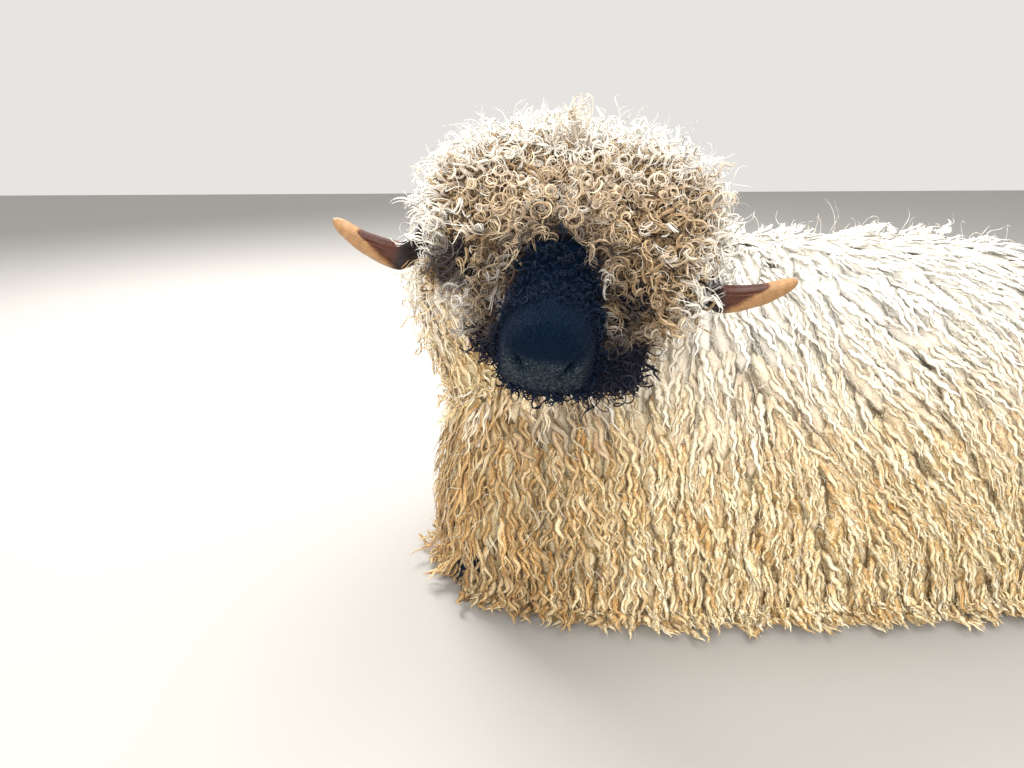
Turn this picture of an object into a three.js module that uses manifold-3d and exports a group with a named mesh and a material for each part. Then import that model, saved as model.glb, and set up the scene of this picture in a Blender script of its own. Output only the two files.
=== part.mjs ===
import * as THREE from 'three';
import { mergeVertices } from 'three/addons/utils/BufferGeometryUtils.js';
import Module from 'manifold-3d';

// Valais Blacknose ewe lying on her brisket, head turned to her left.
// Millimetres, +Z up, floor at z = 0, head end towards -X, left flank towards -Y.

const wasm = await Module();
wasm.setup();
const { Manifold } = wasm;

// Driving dimensions of the whole animal
const gap = 0.3;                       // between two parts that meet
const headLength = 267;                // from the back of the skull to the nose
const headTurn = 13;                   // degrees from square across the body towards the head end
const headSlope = 34;                  // degrees below level
const headRoll = 8;                    // degrees, left side low
const poll = new THREE.Vector3(-304, -234, 609);
const trunkWool = 50;                  // from skin to lock tips on the trunk
const neckWool = 58;
const legWool = 16;
const tailWool = 30;
const core = 0.48;                     // share of the coat's depth that is solid under the locks
const eyeRadius = 13;

const v3 = (x, y, z) => new THREE.Vector3(x, y, z);
const up = v3(0, 0, 1);
const { lerp, clamp, smoothstep, degToRad } = THREE.MathUtils;

// Seeded chance, so that the coat is the same each time
function makeRandom(seed) {
  let state = seed;
  return (low = 0, high = 1) => {
    state = (Math.imul(state, 1664525) + 1013904223) >>> 0;
    return low + (high - low) * (state / 2 ** 32);
  };
}
const random = makeRandom(7);

// A closed geometry becomes a solid with its faces pointing out
function signedVolume(position, index) {
  const [p, q, r] = [v3(0, 0, 0), v3(0, 0, 0), v3(0, 0, 0)];
  let volume = 0;
  for (let i = 0; i < index.count; i += 3) {
    p.fromBufferAttribute(position, index.getX(i));
    q.fromBufferAttribute(position, index.getX(i + 1));
    r.fromBufferAttribute(position, index.getX(i + 2));
    volume += p.dot(q.cross(r)) / 6;
  }
  return volume;
}

function toSolid(geometry) {
  const bare = geometry.clone();
  bare.deleteAttribute('normal');
  bare.deleteAttribute('uv');
  const merged = mergeVertices(bare);
  const triVerts = Uint32Array.from(merged.index.array);
  if (signedVolume(merged.attributes.position, merged.index) < 0) {
    for (let i = 0; i < triVerts.length; i += 3) {
      [triVerts[i], triVerts[i + 1]] = [triVerts[i + 1], triVerts[i]];
    }
  }
  const vertProperties = Float32Array.from(merged.attributes.position.array);
  return new Manifold(new wasm.Mesh({ numProp: 3, vertProperties, triVerts }));
}

const joined = (solids) => Manifold.union(solids);

const crumbs = 0.12;                    // edges shorter than this are left out of a finished solid

function geometryOf(solid) {
  const { vertProperties, triVerts } = solid.getMesh();
  const geometry = new THREE.BufferGeometry();
  geometry.setAttribute('position', new THREE.BufferAttribute(vertProperties, 3));
  geometry.setIndex(new THREE.BufferAttribute(triVerts, 1));
  return geometry;
}

// A solid's largest closed surface, once points that coincide are merged
const largest = (solid) => toSolid(geometryOf(solid.asOriginal().simplify(crumbs))).decompose()
  .reduce((best, piece) => (piece.volume() > best.volume() ? piece : best));

// A sphere's rows and columns laid over the shape that place(share, angle) gives
function skinOver(sides, rows, place) {
  const sphere = new THREE.SphereGeometry(1, sides, rows);
  const { position } = sphere.attributes;
  for (let i = 0; i < position.count; i++) {
    const row = Math.floor(i / (sides + 1));
    const column = (i % (sides + 1)) % sides;
    const p = place(row / rows, (2 * Math.PI * column) / sides);
    position.setXYZ(i, p.x, p.y, p.z);
  }
  return toSolid(sphere);
}

// A body form: stations of centre, half width, height above and depth below along a curve, its ends domed
class Form {
  constructor({ stations, side, roundness = 2, domes = [0.12, 0.12] }) {
    this.path = new THREE.CatmullRomCurve3(stations.map(([at]) => at));
    this.sizes = new THREE.CatmullRomCurve3(stations.map(([, ...sizes]) => v3(...sizes)));
    Object.assign(this, { side, roundness, domes });
  }

  fullness(t) {
    const [start, end] = this.domes;
    const near = t < start ? 1 - t / start : t > 1 - end ? 1 - (1 - t) / end : 0;
    return Math.sqrt(1 - near * near);
  }

  surface(t, angle) {
    const tangent = this.path.getTangent(t);
    const side = this.side.clone().projectOnPlane(tangent).normalize();
    const above = tangent.clone().cross(side);
    const size = this.sizes.getPoint(t).multiplyScalar(this.fullness(t));
    const squared = (value) => Math.sign(value) * Math.abs(value) ** (2 / this.roundness);
    const [x, y] = [squared(Math.cos(angle)), squared(Math.sin(angle))];
    return this.path.getPoint(t).addScaledVector(side, size.x * x).addScaledVector(above, (y > 0 ? size.y : size.z) * y);
  }

  // Directions along and around the form at a point, and outwards from it
  slopes(t, angle) {
    const step = 0.004;
    const [low, high] = [clamp(t - step, 0, 1), clamp(t + step, 0, 1)];
    const along = this.surface(high, angle).sub(this.surface(low, angle)).divideScalar(high - low);
    const around = this.surface(t, angle + step).sub(this.surface(t, angle - step)).divideScalar(2 * step);
    const normal = along.clone().cross(around).normalize();
    if (normal.dot(this.surface(t, angle).sub(this.path.getPoint(t))) < 0) normal.negate();
    return { along, around, normal };
  }

  point(t, angle, height = 0) {
    if (t <= 0 || t >= 1) {
      return this.path.getPoint(t).addScaledVector(this.path.getTangent(t), t <= 0 ? -height : height);
    }
    return this.surface(t, angle).addScaledVector(this.slopes(t, angle).normal, height);
  }

  // The form's own coordinates after a step over it in a direction of space
  walk(t, angle, direction, distance) {
    const { along, around, normal } = this.slopes(t, angle);
    const step = direction.clone().projectOnPlane(normal).setLength(distance);
    const [aa, ab, bb] = [along.dot(along), along.dot(around), around.dot(around)];
    const [sa, sb] = [step.dot(along), step.dot(around)];
    const det = aa * bb - ab * ab;
    return [clamp(t + (sa * bb - sb * ab) / det, 0.01, 0.99), angle + (sb * aa - sa * ab) / det];
  }

  solid(sides, rows, height = 0) {
    const crowding = 0.6;              // how far the rows draw together at the ends
    return skinOver(sides, rows, (share, angle) => {
      const t = lerp(share, 0.5 - 0.5 * Math.cos(Math.PI * share), crowding);
      return this.point(share === 0 || share === 1 ? share : t, angle, height);
    });
  }
}

// A tapered lock, ridged along its middle: from its root at (t, angle) it lies over the form the way that
// lay says, its middle line rising from one height to another and swaying from side to side
function lock(form, { t, angle, lay, length, width, thick, low, high, sway, phase, rows }) {
  const spine = [];
  let [along, around] = [t, angle];
  for (let row = 0; row <= rows; row++) {
    const share = row / rows;
    const { normal } = form.slopes(along, around);
    const at = form.point(along, around, lerp(low, high, share));
    const direction = lay(at, normal);
    const across = normal.clone().cross(direction).normalize();
    at.addScaledVector(across, sway * Math.sin(2 * Math.PI * share + phase));
    spine.push({ at, normal });
    [along, around] = form.walk(along, around, direction, length / rows);
  }
  return skinOver(3, rows, (share, turned) => {
    const row = Math.round(share * rows);
    const { at, normal } = spine[row];
    const tangent = spine[Math.min(row + 1, rows)].at.clone().sub(spine[Math.max(row - 1, 0)].at).normalize();
    if (row === 0 || row === rows) return at;
    const across = normal.clone().cross(tangent).normalize();
    const out = tangent.clone().cross(across);
    const fullness = Math.sin(Math.PI * lerp(0.12, 1, share)) ** 0.7;
    const ridge = turned + Math.PI / 2;
    return at.clone()
      .addScaledVector(across, (width / 2) * fullness * Math.cos(ridge))
      .addScaledVector(out, (thick / 2) * fullness * Math.sin(ridge));
  });
}

// A rounded clump of curls, half sunk in the form and laid the way that lay says, give or take spin
function clump(form, { t, angle, lay, long, wide, tall, height, spin }, grow = 0) {
  const { normal } = form.slopes(t, angle);
  const direction = lay(form.point(t, angle), normal).clone().projectOnPlane(normal);
  const forward = direction.normalize().applyAxisAngle(normal, spin);
  const across = normal.clone().cross(forward);
  const ball = new THREE.IcosahedronGeometry(1, 0).scale(long + grow, wide + grow, tall + grow);
  const place = new THREE.Matrix4().makeBasis(forward, across, normal);
  return toSolid(ball.applyMatrix4(place.setPosition(form.point(t, angle, height))));
}

// The share of a line at which it has run for a distance, or null where it is shorter
function shareAt(pointAt, distance) {
  const samples = 240;
  let travelled = 0;
  for (let i = 1; i <= samples; i++) {
    travelled += pointAt(i / samples).distanceTo(pointAt((i - 1) / samples));
    if (travelled >= distance) return i / samples;
  }
  return null;
}

// Places in staggered tiers down both sides of a form, each tier at a depth below its ridge
function tiers(form, { depths, spacing, height, fits }) {
  const places = [];
  const flank = (t) => form.point(t, 0, height);
  for (const side of [1, -1]) {
    depths.forEach((depth, tier) => {
      for (let column = 0.5 + (tier % 2) / 2; ; column++) {
        const t = shareAt(flank, (column + random(-0.12, 0.12)) * spacing);
        if (t === null || t > 0.995) break;
        const girth = (share) => form.point(t, Math.PI * (0.5 - side * share), height);
        const share = shareAt(girth, depth + random(-12, 12));
        if (share === null || share > 0.9) continue;
        const angle = Math.PI * (0.5 - side * share);
        const at = form.point(t, angle, height);
        if (fits({ t, at, normal: form.slopes(t, angle).normal })) places.push({ t, angle, tier });
      }
    });
  }
  return places;
}

// Even places on a form: each is the farthest of a few tries from those before it, with distance
// along the lay counted for less, as locks are longer than they are wide
function spread(form, { count, lay, stretch = 2, height = 0, fits }) {
  const places = [];
  const tries = 24;
  while (places.length < count) {
    let best = null;
    for (let i = 0; i < tries; i++) {
      const [t, angle] = [random(0.02, 0.98), random(0, 2 * Math.PI)];
      const { normal } = form.slopes(t, angle);
      const at = form.point(t, angle, height);
      if (!fits({ t, at, normal })) continue;
      const direction = lay(at, normal).projectOnPlane(normal).normalize();
      const distance = (place) => {
        const apart = at.clone().sub(place.at);
        const along = apart.dot(direction);
        return Math.hypot(along / stretch, apart.addScaledVector(direction, -along).length());
      };
      const room = Math.min(...places.map(distance), Infinity);
      if (!best || room > best.room) best = { t, angle, at, room };
    }
    if (best) places.push(best);
  }
  return places;
}

// The head's own frame: s to its left, f along the face, u up from the brow
const [turn, slope] = [degToRad(headTurn), degToRad(headSlope)];
const faceward = v3(-Math.sin(turn) * Math.cos(slope), -Math.cos(turn) * Math.cos(slope), -Math.sin(slope));
const headLeft = up.clone().cross(faceward).normalize().applyAxisAngle(faceward, -degToRad(headRoll));
const headUp = faceward.clone().cross(headLeft);
const onHead = (s, f, u) =>
  poll.clone().addScaledVector(headLeft, s).addScaledVector(faceward, f).addScaledVector(headUp, u);
const headCoordinates = (at) => {
  const from = at.clone().sub(poll);
  return { s: from.dot(headLeft), f: from.dot(faceward), u: from.dot(headUp) };
};

// Cutting blocks: the floor, and half spaces on either side of a plane, clear of it by half the gap
const reach = 1500;
const belowFloor = toSolid(new THREE.BoxGeometry(2 * reach, 2 * reach, reach).translate(0, 0, -reach / 2));

function sidesOf(plane, through) {
  const turned = new THREE.Quaternion().setFromUnitVectors(up, plane);
  const half = (offset) => {
    const at = through.clone().addScaledVector(plane, offset);
    return toSolid(new THREE.BoxGeometry(reach, reach, reach).applyQuaternion(turned).translate(at.x, at.y, at.z));
  };
  return { front: half((reach + gap) / 2), back: half(-(reach + gap) / 2), ahead: half((reach - gap) / 2) };
}

const throatPlane = faceward.clone().multiplyScalar(0.75).addScaledVector(headUp, 0.66).normalize();
const throatCut = sidesOf(throatPlane, onHead(0, 8, -50));
const shoulderCut = sidesOf(v3(-0.6, -0.15, 0.79).normalize(), v3(-345, 0, 400));
const muzzleCut = sidesOf(faceward, onHead(0, 165, 0));

// Trunk: long locks that hang down the flanks and sweep back towards the rump
const trunk = new Form({
  side: v3(0, 1, 0),
  roundness: 2.3,
  domes: [0.16, 0.17],
  stations: [
    [v3(-425, 0, 240), 130, 145, 215],
    [v3(-350, 0, 225), 165, 200, 250],
    [v3(-260, 0, 220), 182, 246, 310],
    [v3(-120, 0, 215), 190, 270, 400],
    [v3(60, 0, 210), 194, 274, 400],
    [v3(250, 0, 215), 192, 268, 400],
    [v3(385, 0, 220), 180, 248, 400],
    [v3(478, 0, 225), 138, 180, 350],
  ],
});
const trunkLay = (at, normal) =>
  v3(0.12 + 0.5 * smoothstep(at.x, -150, 420), 0.9 * Math.sign(at.y) * Math.max(normal.z, 0), -1);
const trunkTiers = [22, 158, 294, 418];
const trunkPlaces = tiers(trunk, {
  depths: trunkTiers,
  spacing: 102,
  height: trunkWool,
  fits: ({ at, normal }) => {
    const underNeck = at.x < -240 && at.z > lerp(340, 400, smoothstep(at.x, -360, -300));
    const underTail = at.x > 440 && Math.abs(at.y) < 50;
    return at.z > 30 && normal.z > -0.6 && !underNeck && !underTail;
  },
});
const trunkLocks = trunkPlaces.map(({ t, angle, tier }) => lock(trunk, {
  t,
  angle,
  lay: trunkLay,
  length: random(185, 205) + (tier === trunkTiers.length - 1 ? 60 : 0),
  width: random(118, 128),
  thick: random(28, 34),
  low: core * trunkWool - 16,
  high: trunkWool - random(0, 6),
  sway: random(5, 9),
  phase: random(0, 6),
  rows: 4,
}));

// Clumps along the ridge of the back, where the locks part to either side
const ridgeClumps = { count: 7, from: 0.32, to: 0.86 };
const backClumps = Array.from({ length: ridgeClumps.count }, (_, i) => clump(trunk, {
  t: lerp(ridgeClumps.from, ridgeClumps.to, i / (ridgeClumps.count - 1)),
  angle: Math.PI / 2 + random(-0.06, 0.06),
  lay: () => v3(1, 0, 0),
  long: random(60, 68),
  wide: random(56, 62),
  tall: random(26, 29),
  height: trunkWool - random(24, 28),
  spin: random(-0.4, 0.4),
}));

// Neck: a ruff of long clumps that hang to the chest
const neck = new Form({
  side: v3(0.25, 1, 0.2),
  domes: [0.1, 0.12],
  stations: [
    [v3(-225, 5, 310), 120, 120, 120],
    [v3(-318, -10, 390), 112, 128, 140],
    [v3(-362, -75, 480), 96, 98, 105],
    [v3(-330, -160, 548), 84, 78, 84],
    [onHead(0, 40, -45), 72, 60, 60],
  ],
});
const neckLay = (at, normal) => v3(-0.2 * normal.x, 0.3 * normal.y, -1);
const neckClumps = spread(neck, {
  count: 20,
  lay: neckLay,
  stretch: 1.5,
  height: neckWool,
  fits: ({ t, at, normal }) => t > 0.12 && t < 0.78 && at.z > 330 && normal.z > -0.8,
}).map(({ t, angle }) => clump(neck, {
  t,
  angle,
  lay: neckLay,
  long: random(56, 66),
  wide: random(38, 44),
  tall: random(30, 34),
  height: neckWool - random(28, 34),
  spin: random(-0.3, 0.3),
}));

// Skull and jaws under the wool, from the nape to the nose
const skull = new Form({
  side: headLeft.clone().negate(),
  roundness: 2.2,
  domes: [0.12, 0.07],
  stations: [
    [onHead(0, -38, -25), 52, 58, 48],
    [onHead(0, 0, -25), 62, 70, 60],
    [onHead(0, 45, -27), 68, 78, 72],
    [onHead(0, 95, -27), 70, 76, 76],
    [onHead(0, 140, -24), 56, 67, 68],
    [onHead(0, 185, -20), 45, 56, 58],
    [onHead(0, 230, -20), 46, 46, 62],
    [onHead(0, headLength, -22), 42, 30, 54],
  ],
});

// Wool that stands round the skull, out to the tips of its curls
const topknot = new Form({
  side: headLeft.clone().negate(),
  roundness: 2.3,
  domes: [0.3, 0.3],
  stations: [
    [onHead(0, -92, -30), 166, 98, 92],
    [onHead(3, -30, -22), 184, 112, 102],
    [onHead(8, 40, -26), 188, 120, 110],
    [onHead(6, 110, -36), 166, 105, 100],
    [onHead(0, 165, -52), 122, 72, 74],
    [onHead(0, 225, -68), 86, 38, 46],
  ],
});
const topknotCore = -50;               // the wool's solid core lies this far inside its tips
const curls = spread(topknot, {
  count: 47,
  lay: () => faceward.clone(),
  stretch: 1,
  fits: ({ t, at, normal }) => {
    const { s, f, u } = headCoordinates(at);
    return t > 0.03 && !(u < -30 && f < 70 && Math.abs(s) < 130) && !(f < -40 && u < 20 && Math.abs(s) < 100);
  },
}).map(({ t, angle }) => clump(topknot, {
  t,
  angle,
  lay: () => faceward,
  long: random(42, 48),
  wide: random(38, 43),
  tall: random(33, 37),
  height: -random(28, 34),
  spin: random(0, Math.PI),
}));

// Beard: darker wool round the jaw and under the chin
const beard = new Form({
  side: headLeft.clone().negate(),
  roundness: 2.2,
  domes: [0.25, 0.3],
  stations: [
    [onHead(0, 110, -62), 96, 34, 44],
    [onHead(2, 165, -68), 104, 34, 44],
    [onHead(4, 210, -74), 96, 28, 36],
    [onHead(2, 250, -72), 66, 18, 22],
  ],
});
const beardCore = -8;
const beardCurls = spread(beard, {
  count: 8,
  lay: () => faceward.clone(),
  stretch: 1,
  fits: ({ t, at }) => t > 0.25 && Math.abs(headCoordinates(at).s) > 58,
}).map(({ t, angle }) => clump(beard, {
  t,
  angle,
  lay: () => faceward,
  long: random(24, 28),
  wide: random(20, 24),
  tall: random(17, 20),
  height: -random(11, 14),
  spin: random(0, Math.PI),
}));

// Muzzle: the front of the skull, with nostrils and the line of the mouth
const nostrilSize = { wide: 3.5, tall: 8, depth: 14 };
const mouthLine = { u: -40, from: 196, height: 2.4, depth: 5 };
function muzzle() {
  const front = skull.solid(14, 16).intersect(muzzleCut.front);
  const lips = skull.solid(14, 16, -mouthLine.depth);
  const plate = new THREE.BoxGeometry(200, 160, mouthLine.height);
  const place = new THREE.Matrix4().makeBasis(headLeft, faceward, headUp);
  plate.applyMatrix4(place.setPosition(onHead(0, mouthLine.from + 80, mouthLine.u)));
  const slits = [1, -1].map((sign) => new Form({
    side: headUp.clone().addScaledVector(headLeft, sign * 0.6).normalize(),
    domes: [0.3, 0.3],
    stations: [
      [onHead(sign * 21, headLength + 6, -6), nostrilSize.tall, nostrilSize.wide, nostrilSize.wide],
      [onHead(sign * 15, headLength - nostrilSize.depth, -2), nostrilSize.tall, nostrilSize.wide, nostrilSize.wide],
    ],
  }).solid(8, 4));
  return front.subtract(toSolid(plate).subtract(lips)).subtract(joined(slits));
}
const muzzleSpace = skull.solid(14, 16, gap).intersect(muzzleCut.ahead);

// Horns: flat and twisted, out of the wool on either side and forward to a blunt tip
const hands = { left: 1, right: -1 };
const hornStations = [
  [30, 24, 22, 23, 15],
  [70, -8, 18, 22, 14],
  [112, -14, -6, 20, 12],
  [146, 30, -40, 18, 11],
  [172, 92, -54, 17, 10],
  [214, 102, -34, 13, 8],
  [252, 96, -8, 6, 5],
];
function horn(sign, grow) {
  return new Form({
    side: headUp,
    domes: [0.05, 0.06],
    stations: hornStations.map(([s, f, u, wide, thick]) => [onHead(sign * s, f, u), wide, thick, thick]),
  }).solid(8, 13, grow);
}

// Ears: a leaf with a hollow front, from the side of the skull out under the horn
const earStations = [
  [56, 38, -18, 16, 9],
  [88, 72, -30, 25, 10],
  [118, 98, -46, 25, 8],
  [150, 112, -66, 13, 5],
];
const earCup = { inset: 5, shift: 7 };
function ear(sign, grow) {
  const side = headUp.clone().addScaledVector(faceward, 0.6).normalize();
  const facing = faceward.clone().addScaledVector(headUp, -0.6).normalize();
  const leaf = (inset, shift) => new Form({
    side,
    domes: [0.2, 0.5],
    stations: earStations.map(([s, f, u, wide, thick]) =>
      [onHead(sign * s, f, u).addScaledVector(facing, shift), wide - inset, thick, thick]),
  });
  return leaf(0, 0).solid(8, 6, grow).subtract(leaf(earCup.inset, earCup.shift).solid(8, 6, -grow));
}

// Eyes in their sockets, with lids, and the parting of the wool that leaves them free
const eyeAt = (sign, out = 0) => onHead(sign * (60 + out), 96 + 0.35 * out, 14);
const eye = (sign, grow) => {
  const at = eyeAt(sign);
  return toSolid(new THREE.SphereGeometry(eyeRadius + grow, 10, 7).translate(at.x, at.y, at.z));
};
function lids(sign) {
  const ring = new THREE.TorusGeometry(eyeRadius + 1, 3.6, 5, 10);
  const outward = eyeAt(sign, 1).sub(eyeAt(sign)).normalize();
  ring.applyQuaternion(new THREE.Quaternion().setFromUnitVectors(up, outward));
  const at = eyeAt(sign, 8);
  return toSolid(ring.translate(at.x, at.y, at.z));
}
function eyeParting(sign) {
  return new Form({
    side: headUp,
    domes: [0.08, 0.1],
    stations: [[8, 19], [50, 21], [150, 30]].map(([out, size]) => [eyeAt(sign, out), size, size, size]),
  }).solid(8, 4);
}

// Legs: forelegs folded under the chest, both hind feet out on the far side
const across = v3(0, 1, 0);
const backwards = v3(-1, 0, 0);
const foreleg = (sign) => new Form({
  side: across,
  domes: [0.1, 0.08],
  stations: [
    [v3(-215, sign * 118, 120), 40, 40, 40],
    [v3(-320, sign * 110, 92), 32, 30, 30],
    [v3(-404, sign * 100, 58), 29, 29, 29],
    [v3(-424, sign * 92, 36), 26, 22, 22],
    [v3(-360, sign * 80, 24), 18, 16, 16],
    [v3(-270, sign * 70, 26), 19, 17, 17],
    [v3(-222, sign * 64, 26), 18, 15, 15],
  ],
});
const hindlegRight = new Form({
  side: backwards,
  domes: [0.15, 0.1],
  stations: [
    [v3(195, 188, 138), 46, 46, 46],
    [v3(300, 220, 98), 40, 40, 40],
    [v3(390, 250, 60), 28, 30, 30],
    [v3(372, 284, 40), 22, 22, 22],
    [v3(300, 312, 30), 18, 17, 17],
    [v3(232, 336, 27), 20, 17, 17],
    [v3(196, 350, 24), 18, 14, 14],
  ],
});
const hindlegLeft = new Form({
  side: backwards,
  domes: [0.15, 0.1],
  stations: [
    [v3(235, 130, 32), 18, 18, 18],
    [v3(190, 200, 28), 17, 17, 17],
    [v3(140, 265, 26), 20, 17, 17],
    [v3(104, 306, 24), 18, 14, 14],
  ],
});
const tailForm = new Form({
  side: v3(0, -1, 0),
  domes: [0.1, 0.1],
  stations: [
    [v3(462, 0, 400), 26, 20, 20],
    [v3(512, -4, 330), 24, 18, 18],
    [v3(530, -10, 220), 20, 15, 15],
    [v3(538, -14, 110), 16, 12, 12],
    [v3(540, -16, -12), 12, 10, 10],
  ],
});

const downwards = () => up.clone().negate();

// A woolled limb: its skin with the core of the wool, and the clumps that stand on it
function limb(form, { sides, rows, wool, count, lay = downwards, stretch = 1, fits, sizes }) {
  const places = spread(form, { count, lay, stretch, height: wool, fits });
  const pieces = places.map((place) => ({ ...place, lay, ...sizes() }));
  return (grow) => joined([
    form.solid(sides, rows, core * wool + grow),
    ...pieces.map((each) => clump(form, each, grow)),
  ]);
}

const legBuild = {
  sides: 7,
  rows: 9,
  wool: legWool,
  sizes: () => ({
    long: random(25, 29),
    wide: random(21, 25),
    tall: random(15, 18),
    height: random(0, 3),
    spin: random(0, Math.PI),
  }),
};
const limbs = {
  foreleg_left: limb(foreleg(-1), { ...legBuild, count: 3, fits: ({ at }) => at.x < -415 && at.z > 22 }),
  foreleg_right: limb(foreleg(1), { ...legBuild, count: 3, fits: ({ at }) => at.x < -415 && at.z > 22 }),
  hindleg_left: limb(hindlegLeft, {
    ...legBuild,
    rows: 6,
    count: 3,
    fits: ({ at, normal }) => at.y > 262 && normal.z > -0.2,
  }),
  hindleg_right: limb(hindlegRight, {
    ...legBuild,
    count: 9,
    fits: ({ at, normal }) => at.y > 276 && normal.z > -0.3 && at.x > 215,
  }),
  tail: limb(tailForm, {
    sides: 7,
    rows: 6,
    wool: tailWool,
    count: 9,
    stretch: 2,
    fits: ({ at, normal }) => normal.x > -0.3 && at.z > 40 && at.z < 385,
    sizes: () => ({
      long: random(56, 64),
      wide: random(30, 34),
      tall: random(17, 20),
      height: random(5, 10),
      spin: random(-0.2, 0.2),
    }),
  }),
};
const hockCut = sidesOf(v3(0.09, 0.82, -0.57).normalize(), v3(385, 264, 48));

// Feet: two claws each, flat on the floor
const feet = {
  fore_left: [v3(-205, -62, 0), v3(1, 0.1, 0)],
  fore_right: [v3(-205, 62, 0), v3(1, -0.1, 0)],
  hind_left: [v3(92, 322, 0), v3(-0.6, 0.8, 0)],
  hind_right: [v3(178, 357, 0), v3(-0.92, 0.38, 0)],
};
const clawStations = [[-22, 11, 24, 9, 16, 26], [5, 12, 18, 11, 14, 22], [38, 12, 9, 7, 8, 12]];
function claw([at, toward], sign, grow) {
  const ahead = toward.clone().normalize();
  const aside = up.clone().cross(ahead);
  return new Form({
    side: aside,
    roundness: 2.6,
    domes: [0.2, 0.35],
    stations: clawStations.map(([forward, apart, z, ...sizes]) =>
      [at.clone().addScaledVector(ahead, forward).addScaledVector(aside, sign * apart).setZ(z), ...sizes]),
  }).solid(8, 5, grow);
}

// Hard pieces and claws, each made at its own size or grown by the gap for the space it takes
const hard = {};
for (const [hand, sign] of Object.entries(hands)) {
  hard[`horn_${hand}`] = (grow) => horn(sign, grow);
  hard[`ear_${hand}`] = (grow) => ear(sign, grow);
  hard[`eye_${hand}`] = (grow) => eye(sign, grow);
}
const claws = {};
for (const [foot, place] of Object.entries(feet)) {
  for (const [part, sign] of [['inner', 1], ['outer', -1]]) {
    claws[`hoof_${foot}_${part}`] = (grow) => claw(place, sign, grow);
  }
}
const spaceOf = (makers) => joined(Object.values(makers).map((make) => make(gap)));

// The woolled body as one solid, without the room of the pieces that it meets, then parted by thin cuts
const body = joined([
  trunk.solid(16, 12, core * trunkWool),
  ...trunkLocks,
  ...backClumps,
  neck.solid(12, 9, core * neckWool),
  ...neckClumps,
  topknot.solid(14, 9, topknotCore),
  skull.solid(12, 12).intersect(muzzleCut.back),
  ...curls,
  beard.solid(10, 7, beardCore),
  ...beardCurls,
])
  .subtract(joined([belowFloor, eyeParting(1), eyeParting(-1), spaceOf(limbs), spaceOf(claws)]))
  .add(joined([lids(1), lids(-1)]))
  .subtract(joined([spaceOf(hard), muzzleSpace]));
const beforeShoulder = body.intersect(shoulderCut.front);

const clawSpace = spaceOf(claws);
const limbSolids = Object.fromEntries(
  Object.entries(limbs).map(([name, make]) => [name, make(0).subtract(belowFloor).subtract(clawSpace)]));
const { hindleg_right: hindRight, ...otherLimbs } = limbSolids;

const solids = {
  torso: body.intersect(shoulderCut.back),
  neck: beforeShoulder.intersect(throatCut.back),
  head: beforeShoulder.intersect(throatCut.front),
  muzzle: muzzle(),
  ...otherLimbs,
  hindleg_right_upper: hindRight.intersect(hockCut.back),
  hindleg_right_lower: hindRight.intersect(hockCut.front),
};
for (const [name, make] of Object.entries(claws)) solids[name] = make(0).subtract(belowFloor);
for (const [name, make] of Object.entries(hard)) solids[name] = make(0);

// Finishes by the first word of a piece's name
const finishes = {
  fleece: { color: 0xe6d6b4, roughness: 0.95, metalness: 0 },
  muzzle: { color: 0x1d1d22, roughness: 0.8, metalness: 0 },
  ear: { color: 0x17171a, roughness: 0.85, metalness: 0 },
  horn: { color: 0x8a6b46, roughness: 0.55, metalness: 0 },
  hoof: { color: 0x24201d, roughness: 0.5, metalness: 0 },
  eye: { color: 0x3a2410, roughness: 0.1, metalness: 0 },
};

const group = new THREE.Group();
for (const [name, solid] of Object.entries(solids)) {
  const geometry = geometryOf(largest(solid));
  geometry.computeVertexNormals();
  const finish = finishes[name.split('_')[0]] ?? finishes.fleece;
  const mesh = new THREE.Mesh(geometry, new THREE.MeshStandardMaterial(finish));
  mesh.name = name;
  group.add(mesh);
}

export default group;
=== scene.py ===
import math

import bmesh
import bpy
import numpy as np
from mathutils.bvhtree import BVHTree
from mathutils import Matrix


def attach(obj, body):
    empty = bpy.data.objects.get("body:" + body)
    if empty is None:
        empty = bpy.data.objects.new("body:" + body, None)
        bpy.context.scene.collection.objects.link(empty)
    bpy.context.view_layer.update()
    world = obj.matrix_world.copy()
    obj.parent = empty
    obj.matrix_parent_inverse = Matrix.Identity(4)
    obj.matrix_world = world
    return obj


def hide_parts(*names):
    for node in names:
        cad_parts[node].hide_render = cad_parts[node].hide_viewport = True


# Valais Blacknose ewe lying with folded legs and her head turned to her left
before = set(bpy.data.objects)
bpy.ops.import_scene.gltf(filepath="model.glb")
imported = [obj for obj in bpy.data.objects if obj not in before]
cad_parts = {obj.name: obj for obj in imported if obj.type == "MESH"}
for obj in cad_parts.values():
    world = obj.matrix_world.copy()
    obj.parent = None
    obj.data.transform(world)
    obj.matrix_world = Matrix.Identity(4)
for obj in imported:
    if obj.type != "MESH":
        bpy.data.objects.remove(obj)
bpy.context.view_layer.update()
chance = np.random.default_rng(11)
print("frame loaded")

cameraSet = {"place": (-0.42, -1.155, 0.69), "sensor": 36, "lens": 27.98, "down": 19, "turn": 3}
cameraData = bpy.data.cameras.new("photoCamera")
cameraData.sensor_width = cameraSet["sensor"]
cameraData.lens = cameraSet["lens"]
camera = bpy.data.objects.new("photoCamera", cameraData)
camera.location = cameraSet["place"]
camera.rotation_euler = (math.radians(90 - cameraSet["down"]), 0, -math.radians(cameraSet["turn"]))
bpy.context.scene.collection.objects.link(camera)
bpy.context.scene.camera = camera


# small helpers on rows of vectors
def unit(v):
    return v / np.maximum(np.linalg.norm(v, axis=-1, keepdims=True), 1e-9)


def dot(a, b):
    return (a * b).sum(-1, keepdims=True)


def ramp(x, low, high):
    x = np.clip((np.asarray(x, float) - low) / (high - low), 0, 1)
    return x * x * (3 - 2 * x)


def mix(a, b, share):
    return a + (b - a) * share


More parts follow.
